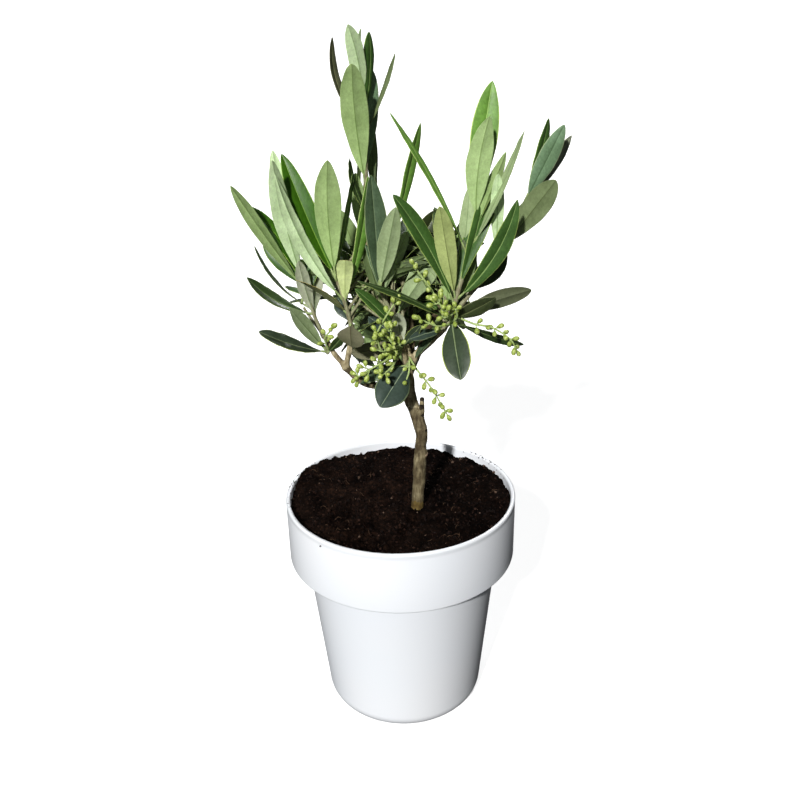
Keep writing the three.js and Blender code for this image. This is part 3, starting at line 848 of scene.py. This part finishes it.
def soil_height(x, y):
    """The soil's top: slow swells, clods and grains, level round the trunk and heaped at the back left."""
    swell = math.sin(0.11 * x + 0.6) * math.cos(0.13 * y - 0.4) + 0.5 * math.sin(0.21 * x - 0.17 * y)
    clods = bumps(x, y, 0.11, 3.1)
    lumps = bumps(x, y, 0.32, 7.7)
    grains = bumps(x, y, 0.85, 1.3)
    grit = bumps(x, y, 1.9, 5.9)
    rough = 0.9 * swell + 1.6 * clods + 1.3 * lumps + 0.9 * grains + 0.5 * grit
    from_heap = (x - HEAP_CENTRE[0]) ** 2 + (y - HEAP_CENTRE[1]) ** 2
    heaped = HEAP_HEIGHT * math.exp(-from_heap / HEAP_SPREAD)
    sunk = -0.8 * smoothstep(SOIL_EDGE - 6, SOIL_EDGE, math.hypot(x, y))
    from_seat = math.hypot(x - SEAT_CENTRE[0], y - SEAT_CENTRE[1])
    away = smoothstep(SEAT_RADIUS, SEAT_RADIUS + SEAT_FADE, from_seat)
    return mix(TRUNK_SEAT + 0.4 * lumps + 0.5 * grains, SOIL_LEVEL + rough + heaped + sunk, away)


def build_soil_bed():
    """The filling as a closed body: its rough top, then its sides and underside inside the pot."""
    rings = []
    count = int(SOIL_EDGE / SOIL_STEP)
    for i in range(1, count + 1):
        angles = all_round(SOIL_SEGMENTS, 0.5 * (i % 2))
        places = [on_circle(SOIL_EDGE * i / count, angle) for angle in angles]
        rings.append([Vector((x, y, soil_height(x, y))) for x, y in places])
    wall = BODY_WALL + 0.3
    below = [
        (SOIL_EDGE - 0.3, COLLAR_FOOT + wall),
        (BODY_TOP_RADIUS - wall, COLLAR_FOOT + wall),
        (BODY_FOOT_RADIUS - wall, FOOT_FILLET),
        (BODY_FOOT_RADIUS - FOOT_FILLET, wall),
    ]
    rings += [level_ring(radius, height, angles) for radius, height in below]
    heap = Heap()
    stack(heap, UP * soil_height(0, 0), rings, UP * wall, 0, inward=True)
    heap.piece("soil_bed", [soil_material()], ["soil"], "soil")


def place_on_soil(edge, dice):
    """A place on the soil inside an edge, evenly dealt."""
    radius = edge * math.sqrt(dice.random())
    return on_circle(radius, dice.uniform(0, 2 * math.pi))


def build_crumbs(dice):
    """Crumbs on the soil and on the rim, and one that clings to the collar."""
    crumbs = Heap()
    for _ in range(CRUMB_COUNT):
        x, y = place_on_soil(SOIL_EDGE, dice)
        size = 0.5 + 1.9 * dice.random() ** 4
        spot = Vector((x, y, soil_height(x, y) + 0.15 * size))
        add_crumb(crumbs, dice, spot, size, crumb_shade(dice))
    for _ in range(RIM_CRUMB_COUNT):
        angle = math.radians(dice.choice(RIM_CRUMB_BEARINGS) + dice.gauss(0, 9))
        radius = RIM_RADIUS - RIM_WALL * dice.uniform(0.2, 1.3)
        on_lip = radius > RIM_RADIUS - RIM_WALL
        spot = Vector((*on_circle(radius, angle), POT_HEIGHT - (0.1 if on_lip else 1)))
        add_crumb(crumbs, dice, spot, 0.3 + 0.8 * dice.random() ** 2, 0)
    add_crumb(crumbs, dice, Vector(CLINGING_CRUMB), 1.3, 0)
    materials = [
        crumb_material("crumb_dark", colour(4, 2, 1), colour(24, 12, 8)),
        crumb_material("crumb_brown", colour(26, 15, 10), colour(50, 32, 24)),
        crumb_material("crumb_light", colour(56, 42, 33), colour(98, 80, 68)),
    ]
    crumbs.piece("soil_crumbs", materials, ["soil"], "soil", smooth=False)


def build_fibres(dice):
    """Root fibres that lie on the soil, each a short bent thread."""
    fibres = Heap()
    for _ in range(FIBRE_COUNT):
        x, y = place_on_soil(SOIL_EDGE - 3, dice)
        heading = dice.uniform(0, 2 * math.pi)
        reach = dice.uniform(1.2, 4.5)
        bend = dice.gauss(0, 0.5)
        line = []
        for k in range(len(FIBRE_RADII)):
            t = k / (len(FIBRE_RADII) - 1)
            turn = heading + bend * (t - 0.5)
            px, py = x + reach * t * math.cos(turn), y + reach * t * math.sin(turn)
            lift = 0.25 + 0.7 * math.sin(math.pi * t) * dice.random()
            line.append(Vector((px, py, soil_height(px, py) + lift)))
        tube(fibres, line, FIBRE_RADII, 5, dice.choice([0, 0, 0, 1]))
    materials = [
        crumb_material("fibre_brown", colour(20, 10, 6), colour(44, 25, 17)),
        crumb_material("fibre_light", colour(48, 33, 24), colour(84, 64, 48)),
    ]
    fibres.piece("soil_fibres", materials, ["soil"], "soil")


def build_soil():
    dice = random.Random(SOIL_SEED)
    build_soil_bed()
    build_crumbs(dice)
    build_fibres(dice)


def crumb_shade(dice):
    """Most crumbs are near black, some brown and a few pale."""
    pick = dice.random()
    return 0 if pick < 0.72 else 1 if pick < 0.965 else 2


def add_crumb(heap, dice, centre, size, finish):
    """A rough little clod: a squashed octahedron with uneven corners."""
    corners = [(1, 0, 0), (-1, 0, 0), (0, 1, 0), (0, -1, 0), (0, 0, 1), (0, 0, -1)]
    spin_z, spin_x = dice.uniform(0, 6.28), dice.uniform(0, 3)
    turn = Matrix.Rotation(spin_z, 3, "Z") @ Matrix.Rotation(spin_x, 3, "X")
    points = [centre + turn @ Vector(c) * (size / 2) * dice.uniform(0.6, 1.3) for c in corners]
    faces = [(4, 0, 2), (4, 2, 1), (4, 1, 3), (4, 3, 0), (5, 2, 0), (5, 1, 2), (5, 3, 1), (5, 0, 3)]
    heap.add(points, faces, finish)


# ---- wood -----------------------------------------------------------------------------------------

def limb_tubes(heap):
    """A tube for every limb; returns the lines that they follow."""
    lines = []
    for path, radii in LIMBS.values():
        line = catmull(path)
        spans = len(path) - 1
        widths = []
        for i in range(len(line)):
            t = i / (len(line) - 1) * spans
            span = min(int(t), spans - 1)
            widths.append(mix(radii[span], radii[span + 1], t - span))
        tube(heap, line, widths, 16, 0)
        lines.append(line)
    return lines


def join_limbs(wood):
    """Make one closed skin of a piece's tubes."""
    remesh = wood.modifiers.new("join", "REMESH")
    remesh.mode = "VOXEL"
    remesh.voxel_size = WOOD_VOXEL * MM
    smooth = wood.modifiers.new("soften", "SMOOTH")
    smooth.factor = 0.5
    smooth.iterations = 3
    bpy.context.view_layer.update()
    skin = bpy.data.meshes.new_from_object(wood.evaluated_get(bpy.context.evaluated_depsgraph_get()))
    wood.modifiers.clear()
    wood.data = skin
    skin.polygons.foreach_set("use_smooth", [True] * len(skin.polygons))


def build_wood():
    """One skin over the trunk, stub and boughs, with the bark's relief in its mesh."""
    heap = Heap()
    lines = limb_tubes(heap)
    materials = [bark_material(name, *(colour(*tone) for tone in tones)) for name, *tones in BARKS]
    wood = heap.piece("wood_skin", materials, list(LIMBS), "bark")
    join_limbs(wood)
    grid = {}
    for name, line in zip(LIMBS, lines):
        for station in walk(line):
            grid.setdefault(cell(station[0]), []).append((*station, name in YOUNG_LIMBS))
    skin = wood.data
    outward = [vertex.normal.copy() for vertex in skin.vertices]
    for vertex, normal in zip(skin.vertices, outward):
        spot = vertex.co / MM
        vertex.co = (spot + normal * bark_relief(spot, grid)) * MM
    skin.update()
    for face in skin.polygons:
        face.material_index = bark_at(face.center / MM, grid)


def bark_at(spot, grid):
    """Which bark a place on the wood has: its limb's, or that of the last mark it lies in."""
    near = nearest_station(spot, grid)
    bark = PALE_BARK if near and near[-1] else OLD
    for mark, at, reach in MARKS:
        if (spot - Vector(at)).length < reach * (1 + 0.4 * noise.noise(spot * 0.9)):
            bark = mark
    return bark


def walk(line):
    """Each point of a line with its direction and how far along the line it lies."""
    gone = 0
    for a, b in zip(line, line[1:]):
        yield a, (b - a).normalized(), gone
        gone += (b - a).length


def cell(point):
    return tuple(int(math.floor(c / CELL)) for c in point)


def nearest_station(spot, grid):
    """The point of a limb's line that lies nearest to a spot, with what the grid keeps of it."""
    home = cell(spot)
    near = [s for x in (-1, 0, 1) for y in (-1, 0, 1) for z in (-1, 0, 1)
            for s in grid.get((home[0] + x, home[1] + y, home[2] + z), ())]
    return min(near, key=lambda s: (s[0] - spot).length_squared) if near else None


def bark_relief(spot, grid):
    """How far the bark stands out: lengthwise ridges, rings at the nodes, knots and scars."""
    near = nearest_station(spot, grid)
    if not near:
        return 0
    point, ahead, gone, _ = near
    out = spot - point
    out -= ahead * out.dot(ahead)
    sample = out * 0.9 + Vector((0, 0, gone * 0.16))
    ridges = noise.noise(sample * 1.3) * 0.12 + noise.noise(sample * 3.1 + Vector((5, 2, 8))) * 0.06
    lumps = noise.noise(spot * 0.16) * 0.45
    rings = 0.1 * max(0, math.sin(gone * 0.9 + 2 * noise.noise(spot * 0.2))) ** 6
    knots = 0
    for at, reach, height in KNOTS:
        knots += height * math.exp(-((spot - Vector(at)).length / reach) ** 2)
    thick = min(1, out.length / 3)
    return (ridges + lumps + rings) * mix(0.45, 1, thick) + knots * 0.8


# ---- leaves ---------------------------------------------------------------------------------------

Leaf = namedtuple("Leaf", "foot along face length width kind bow sweep")

PETIOLE = 0.08  # of the leaf's length
PETIOLE_RADII = [0.95, 0.75, 0.62, 0.58, 0.45]
LEAF_ROWS = 26
LEAF_COLUMNS = [-1, -0.93, -0.62, -0.3, None, 0, None, 0.3, 0.62, 0.93, 1]  # None: an edge of the midrib
MIDRIB = len(LEAF_COLUMNS) // 2
RIB_WIDTHS = (0.36, 0.1)  # half widths of the midrib at its foot and its tip
BLADE_THICKNESS = (0.34, 0.16)
OUTLINE_FOOT = (0.8, 1.05)  # the range of the outline's power at its foot, and at its tip
OUTLINE_TIP = (0.6, 0.8)
EDGE_RIPPLE = 0.07  # of the half width
FOLD = (4, 24)  # the ranges of the chance part of a leaf's form
CURL = (0, 0.32)
TWIST = (-22, 22)
WAVE = (0.15, 0.5)
LOBES = (7, 13)
TIP_BEND = (-1.4, 1.4)


def half_width(share, width, powers):
    """Half the blade's width at a share of its length."""
    foot, tip = powers
    peak = foot / (foot + tip)
    top = peak ** foot * (1 - peak) ** tip
    return width / 2 * share ** foot * (1 - share) ** tip / top


def leaf_line(leaf, t):
    """A point of the leaf's midline, bowed towards its upper face and swept to its side."""
    side = leaf.along.cross(leaf.face)
    hump = 4 * t * (1 - t)
    away = leaf.face * (leaf.bow * hump) + side * (leaf.sweep * hump)
    return leaf.foot + leaf.along * (leaf.length * t) + away


def leaf_form(kind, dice):
    """The chance part of a leaf's form."""
    form = {
        "folds": [math.radians(dice.uniform(*FOLD)) for _ in range(2)],
        "curl": dice.uniform(*CURL),
        "twist": dice.uniform(*TWIST),
        "wave": dice.uniform(*WAVE),
        "lobes": dice.uniform(*LOBES),
        "seed": dice.uniform(0, 100),
    }
    form["powers"] = OUTLINES.get(kind) or (dice.uniform(*OUTLINE_FOOT), dice.uniform(*OUTLINE_TIP))
    form["tip_bend"] = dice.uniform(*TIP_BEND)
    return form


def blade_row(leaf, form, share):
    """One row of points across the blade, on its upper side and on its lower side."""
    seed = form["seed"]
    t = mix(PETIOLE, 1, share)
    here = leaf_line(leaf, t) + leaf.face * (form["tip_bend"] * t ** 3)
    ahead = (leaf_line(leaf, min(1, t + 0.01)) - leaf_line(leaf, t - 0.01)).normalized()
    face = turned(flat(leaf.face, ahead), ahead, form["twist"] * (share - 0.5))
    side = ahead.cross(face)
    plain = max(0.05, half_width(min(0.999, max(0.001, share)), leaf.width, form["powers"]))
    thick = mix(*BLADE_THICKNESS, share)
    upper, lower = [], []
    for k, v in enumerate(LEAF_COLUMNS):
        right = k > MIDRIB
        ripple = noise.noise(Vector((share * 5, seed, 9 * right)))
        half = plain * (1 + EDGE_RIPPLE * ripple)
        rib = min(0.55 * half, mix(*RIB_WIDTHS, share))
        across = v * half if v is not None else (rib if right else -rib)
        reach = abs(across)
        fold = form["folds"][right]
        rise = math.sin(fold) * reach - form["curl"] * half * (reach / half) ** 3
        waves = noise.noise(Vector((form["lobes"] * share, seed, 4 * right)))
        rise += form["wave"] * (reach / half) ** 2 * waves
        rise += 0.1 * noise.noise(Vector((across * 0.7, seed, t * leaf.length * 0.4)))
        middle = here + side * (across * math.cos(fold)) + face * rise
        body = thick * (0.2 + 0.8 * math.sqrt(max(0, 1 - (reach / half) ** 2)))
        sunk = 0.12 if k == MIDRIB else 0
        ridge = 0.38 * rib if k == MIDRIB else 0.1 * rib if v is None else 0
        upper.append(middle + face * (body / 2 - sunk))
        lower.append(middle - face * (body / 2 + ridge))
    return upper, lower


def add_leaf(heap, twigs, leaf, start, dice):
    """A closed thin blade with a sunk midrib above and a raised one below, on its own stalk."""
    form = leaf_form(leaf.kind, dice)
    upper, lower = [], []
    for i in range(LEAF_ROWS + 1):
        row = blade_row(leaf, form, (1 - math.cos(math.pi * (i / LEAF_ROWS))) / 2)
        upper += row[0]
        lower += row[1]
    heap.add(upper + lower, *blade_faces(len(upper), start[leaf.kind]))
    last = len(PETIOLE_RADII) - 1
    stalk = [leaf_line(leaf, PETIOLE * 1.3 * k / last) for k in range(last + 1)]
    tube(twigs, stalk, PETIOLE_RADII, 7, 1)


def blade_faces(under, first):
    """The faces of a blade and their materials: its two sides, joined round the margin."""
    columns = len(LEAF_COLUMNS)
    faces, finishes = [], []
    for i in range(LEAF_ROWS):
        for k in range(columns - 1):
            a = i * columns + k
            b = a + columns
            in_rib = MIDRIB - 1 <= k <= MIDRIB
            at_edge = k in (0, columns - 2)
            faces.append((a, b, b + 1, a + 1))
            finishes.append(first + (RIB_UPPER if in_rib else MARGIN if at_edge else UPPER))
            faces.append((under + a, under + a + 1, under + b + 1, under + b))
            finishes.append(first + (RIB_UNDER if in_rib else UNDER))
        left, right = i * columns, i * columns + columns - 1
        faces.append((left, under + left, under + left + columns, left + columns))
        faces.append((right, right + columns, under + right + columns, under + right))
        finishes += [first + MARGIN] * 2
    foot = list(range(columns))
    faces.append(tuple(foot + [under + k for k in reversed(foot)]))
    tip = [LEAF_ROWS * columns + k for k in range(columns)]
    faces.append(tuple([under + k for k in tip] + tip[::-1]))
    finishes += [first + MARGIN] * 2
    return faces, finishes


def row_leaf(line, row):
    """The leaf that a row of a spray's table describes."""
    share, bearing, lift, length, width, roll, kind, bow, sweep = row
    b, l = math.radians(bearing), math.radians(lift)
    along = Vector((math.cos(l) * math.cos(b), math.cos(l) * math.sin(b), math.sin(l)))
    face = turned(flat(UP, along), along, roll)
    return Leaf(along_line(line, share)[0], along, face, length, width, kind, bow, sweep)


def pair_leaves(line, pairs, dice):
    """Crossed pairs of leaves up a shoot, each pair a quarter turn on from the last."""
    leaves = []
    count = pairs["count"]
    for k in range(count):
        rise = k / (count - 1)
        foot, shoot = along_line(line, (k + FIRST_PAIR) / count)
        spread = math.radians(mix(*pairs["spread"], rise))
        for side in (0, 180):
            out = turned(flat(UP, shoot), shoot, pairs["turn"] + 90 * k + side)
            along = shoot * math.cos(spread) + out * math.sin(spread)
            length = mix(*pairs["length"], rise)
            ceiling = BACK_CEILING - BACK_FALL * (foot.y + length * along.y)
            along.z = min(along.z, (ceiling - foot.z) / length)
            along.normalize()
            kind, bow, sweep = dice.choice(BACK_KINDS), dice.uniform(2, 5), dice.uniform(-2, 2)
            leaves.append(Leaf(foot, along, flat(shoot, along), length, pairs["width"], kind, bow, sweep))
    return leaves


def seen_at(point):
    """Where a point shows in the plane y = 0, from the camera: x and z."""
    eye = Vector(CAMERA_PLACE)
    ray = point - eye
    hit = eye + ray * (-eye.y / ray.y)
    return hit.x, hit.z


def inside_any(point, ellipses):
    """True for a point that shows inside one of the ellipses."""
    x, z = seen_at(point)
    return any(((x - cx) / rx) ** 2 + ((z - cz) / rz) ** 2 < 1 for cx, cz, rx, rz in ellipses)


def fits_inside(leaf):
    """True for a leaf that thickens the crown without crossing the sky that shows through it."""
    spots = [leaf_line(leaf, t) for t in (0.25, 0.5, 0.75, 1)]
    low, high = (c / MM for c in CAD_BOX)
    if not all(low[i] < p[i] < high[i] for p in spots for i in (0, 1)):
        return False
    if max(p.z for p in spots) >= INSIDE_CEILING or any(inside_any(p, SKY) for p in spots):
        return False
    return all(inside_any(p, DENSE) for p in spots)


def twig_leaves(twig, pairs, dice):
    """The leaves of an inside twig that fit in, and how far up it the last of them stands."""
    leaves, last = [], 0
    for j in range(pairs):
        base, ahead = along_line(twig, (j + 1) / pairs)
        spread = math.radians(mix(62, 30, j / pairs))
        for side in (0, 180):
            away = turned(flat(UP, ahead), ahead, 90 * j + side + dice.gauss(0, 12))
            along = (ahead * math.cos(spread) + away * math.sin(spread)).normalized()
            size = dice.uniform(30, 48), dice.uniform(6.5, 9)
            kind, bow, sweep = dice.choice(INSIDE_KINDS), dice.uniform(0.5, 3), dice.uniform(-2, 2)
            leaf = Leaf(base, along, flat(ahead, along), *size, kind, bow, sweep)
            front = min(leaf_line(leaf, t).y for t in (0.5, 1))
            if fits_inside(leaf) and front > twig[0].y + INSIDE_DEPTH:
                leaves.append(leaf)
                last = (j + 1) / pairs
    return leaves, last


def inside_twigs(line, twigs, count, pairs, lean, dice):
    """Side twigs off a shoot, with crossed pairs of leaves; a twig ends at its last leaf that fits."""
    leaves = []
    for k in range(count):
        foot, shoot = along_line(line, mix(0.1, 0.9, k / max(1, count - 1)))
        out = turned(flat(Vector((0.1, 1, 0)), shoot), shoot, dice.uniform(-70, 70))
        heading = (shoot * 0.8 + out * dice.uniform(0.6, 1.2) + Vector(lean)).normalized()
        reach = dice.uniform(14, 26)
        twig = catmull([foot, foot + heading * reach * 0.5 + UP, foot + (heading + UP * 0.2) * reach], 4)
        grown, last = twig_leaves(twig, pairs, dice)
        if grown:
            bare = twig[:max(2, round(last * (len(twig) - 1)) + 1)]
            tube(twigs, bare, [mix(0.9, 0.5, i / (len(twig) - 1)) for i in range(len(bare))], 7, 0)
            leaves += grown
    return leaves


def tip_leaves(line, dice):
    """The small young leaves that a growing shoot ends in."""
    foot, shoot = along_line(line, 1)
    leaves = []
    turn = dice.uniform(0, 90)
    for k, length in enumerate((15, 15, 9, 9)):
        out = turned(flat(Vector((1, 0.2, 0)), shoot), shoot, turn + 180 * k + (90 if k > 1 else 0))
        spread = math.radians(22 if k < 2 else 12)
        along = (shoot * math.cos(spread) + out * math.sin(spread)).normalized()
        leaves.append(Leaf(foot, along, flat(shoot, along), length, length * 0.26, "mint", 0.8, 0))
    return leaves


def build_spray(name, spray, materials, start, twig_materials, flowers, dice):
    """A mass of foliage: its leaves as one piece, and its shoot, twigs and stalks as another."""
    line = catmull(spray["path"], 8)
    leaves = [row_leaf(line, row) for row in spray.get("leaves", [])]
    if "pairs" in spray:
        leaves += pair_leaves(line, spray["pairs"], dice)
        leaves += tip_leaves(line, dice)
    blades, twigs = Heap(), Heap()
    count = len(line) - 1
    radii = []
    for i in range(count + 1):
        swelling = 1 + 0.18 * max(0, math.sin(i * 1.6)) ** 4
        radii.append(mix(*spray["radius"], i / count) * swelling)
    tube(twigs, line, radii, 9, 0)
    if name in INSIDE:
        leaves += inside_twigs(line, twigs, *INSIDE[name], dice)
    for leaf in leaves:
        add_leaf(blades, twigs, leaf, start, dice)
    for mass, stalk, nodes, buds, reach in PANICLES:
        if mass == name:
            add_panicle(twigs, flowers, catmull(stalk, 6), nodes, buds, reach, dice)
    blades.piece(f"{name}_leaves", materials, [name], "foliage")
    twigs.piece(f"{name}_twigs", twig_materials, [name], "foliage")


# ---- flower buds ----------------------------------------------------------------------------------

def add_bud(stalks, buds, foot, out, reach, dice):
    """A bud on its own short stalk, in a tiny cup."""
    end = foot + out * reach
    tube(stalks, [foot, foot.lerp(end, 0.5), end], [0.34, 0.3, 0.34], 6, 2)
    length = BUD_LENGTH * dice.uniform(0.82, 1.12)
    width = BUD_WIDTH * dice.uniform(0.88, 1.08)
    blob(buds, end + out * length * 0.42, out, length, width, 0, bulge=0.12)
    blob(buds, end + out * 0.2, out, 1.5, width * 0.62, 1, 8, 5)


def add_panicle(stalks, buds, line, nodes, count, reach, dice):
    """A panicle: crossed pairs of side stalks up its stem, each with a few buds, and one bud on top."""
    radii = [mix(0.62, 0.4, i / (len(line) - 1)) for i in range(len(line))]
    tube(stalks, line, radii, 7, 2)
    turn = dice.uniform(0, 90)
    for k in range(nodes):
        share = mix(0.3, 0.95, k / max(1, nodes - 1))
        foot, ahead = along_line(line, share)
        for side in (0, 180):
            bearing = turn + 90 * k + side + dice.gauss(0, 12)
            out = turned(flat(Vector((1, 0.3, 0.2)), ahead), ahead, bearing)
            spread = math.radians(dice.uniform(44, 66))
            away = (ahead * math.cos(spread) + out * math.sin(spread)).normalized()
            length = reach * mix(1, 0.45, share) * dice.uniform(0.75, 1.1)
            if count < 3:
                add_bud(stalks, buds, foot, away, length * 0.6, dice)
                continue
            knee = foot + away * length
            tube(stalks, [foot, knee], [0.4, 0.34], 6, 2)
            add_bud(stalks, buds, knee, away, 1.2, dice)
            for spur in range(count - 2):
                spoke = turned(flat(UP, away), away, 360 * spur / (count - 2) + dice.uniform(-30, 30))
                out = (away * 0.45 + spoke).normalized()
                add_bud(stalks, buds, foot.lerp(knee, 0.75), out, 1.4, dice)
    foot, ahead = along_line(line, 1)
    add_bud(stalks, buds, foot, ahead, 1.2, dice)


# ---- the plant ------------------------------------------------------------------------------------

def build_plant():
    """Every spray of foliage in turn, and the buds of all of them as one piece."""
    dice = random.Random(PLANT_SEED)
    materials, start = leaf_materials()
    twig_materials = [
        shoot_material("shoot", colour(150, 152, 118), colour(112, 104, 78)),
        shoot_material("petiole", colour(160, 178, 118), colour(128, 144, 88)),
        shoot_material("flower_stalk", colour(176, 194, 128), colour(146, 168, 96)),
    ]
    flowers = Heap()
    for name, spray in SPRAYS.items():
        build_spray(name, spray, materials, start, twig_materials, flowers, dice)
    cup = shoot_material("bud_cup", colour(150, 172, 84), colour(116, 138, 60))
    masses = sorted({mass for mass, *_ in PANICLES})
    flowers.piece("flower_buds", [bud_material(), cup], masses, "foliage")


# ---- stage ----------------------------------------------------------------------------------------

def sheet(name, points, faces, paint):
    """A part of the stage, seen by the camera but not lighting the plant."""
    mesh = bpy.data.meshes.new(name)
    mesh.from_pydata(points, [], faces)
    mesh.materials.append(paint.material)
    thing = bpy.data.objects.new(name, mesh)
    bpy.context.scene.collection.objects.link(thing)
    thing.visible_diffuse = False
    thing.visible_glossy = False
    return thing


def sun(name, bearing, lift, power, tint):
    """A far light that stands at a bearing to the left of the camera and a lift above level."""
    b, l = math.radians(bearing), math.radians(lift)
    towards = Vector((-math.sin(b) * math.cos(l), -math.cos(b) * math.cos(l), math.sin(l)))
    light = bpy.data.lights.new(name, "SUN")
    light.energy = power
    light.angle = math.radians(SUN_ANGLE)
    light.color = tint
    lamp = bpy.data.objects.new(name, light)
    lamp.rotation_euler = towards.to_track_quat("Z", "Y").to_euler()
    bpy.context.scene.collection.objects.link(lamp)


def glowing(name, strength):
    """A pale matt finish with a glow of its own."""
    paint = Paint(name, colour(232, 232, 232), 0.9, 0.1)
    paint.shader.inputs["Emission Color"].default_value = (1, 1, 1, 1)
    paint.shader.inputs["Emission Strength"].default_value = strength
    return paint


def build_surroundings():
    """A floor, and a far round wall that lets the light through."""
    corners = [(x * FLOOR_HALF, y * FLOOR_HALF, 0) for x, y in ((-1, -1), (1, -1), (1, 1), (-1, 1))]
    sheet("floor", corners, [(0, 1, 2, 3)], glowing("floor", FLOOR_GLOW))
    foot = [on_circle(COVE_RADIUS, angle) for angle in all_round(COVE_SIDES)]
    points = [(x, y, z) for z in (-0.1, COVE_HEIGHT) for x, y in foot]
    cove = sheet("cove", points, band(0, COVE_SIDES, COVE_SIDES), glowing("cove", 1))
    cove.visible_shadow = False


def build_light():
    """A key light, one from behind, and faint light from all round that is stronger on the left."""
    world = bpy.data.worlds.new("studio")
    world.use_nodes = True
    nodes, links = world.node_tree.nodes, world.node_tree.links
    sky = nodes["Background"]
    sky.inputs["Color"].default_value = (0.94, 0.98, 1, 1)
    towards = nodes.new("ShaderNodeSeparateXYZ")
    links.new(nodes.new("ShaderNodeTexCoord").outputs["Generated"], towards.inputs["Vector"])
    strength = nodes.new("ShaderNodeMapRange")
    for socket, value in zip(("From Min", "From Max", "To Min", "To Max"), (-1, 1, *STUDIO_STRENGTH)):
        strength.inputs[socket].default_value = value
    links.new(towards.outputs["X"], strength.inputs["Value"])
    links.new(strength.outputs["Result"], sky.inputs["Strength"])
    bpy.context.scene.world = world
    sun("key", KEY_BEARING, KEY_LIFT, KEY_POWER, (1, 0.99, 0.97))
    sun("back", BACK_BEARING, BACK_LIFT, BACK_POWER, (1, 1, 1))


def build_camera():
    """The camera, by its place and the three angles that it is turned by."""
    pitch, yaw, roll = (math.radians(a) for a in (CAMERA_PITCH, CAMERA_YAW, CAMERA_ROLL))
    ahead = Vector((math.sin(yaw) * math.cos(pitch), math.cos(yaw) * math.cos(pitch), -math.sin(pitch)))
    level = ahead.cross(UP).normalized()
    above = level.cross(ahead)
    right = level * math.cos(roll) + above * math.sin(roll)
    top = above * math.cos(roll) - level * math.sin(roll)
    view = bpy.data.cameras.new("camera")
    view.lens = CAMERA_LENS
    view.sensor_width = CAMERA_SENSOR
    camera = bpy.data.objects.new("camera", view)
    turn = Matrix((right, top, -ahead)).transposed().to_4x4()
    camera.matrix_world = Matrix.Translation(Vector(CAMERA_PLACE) * MM) @ turn
    bpy.context.scene.collection.objects.link(camera)
    bpy.context.scene.camera = camera


bpy.context.scene.view_settings.view_transform = "Standard"
build_camera()
build_surroundings()
build_light()
build_pot()
build_soil()
build_wood()
build_plant()

bpy.context.view_layer.update()
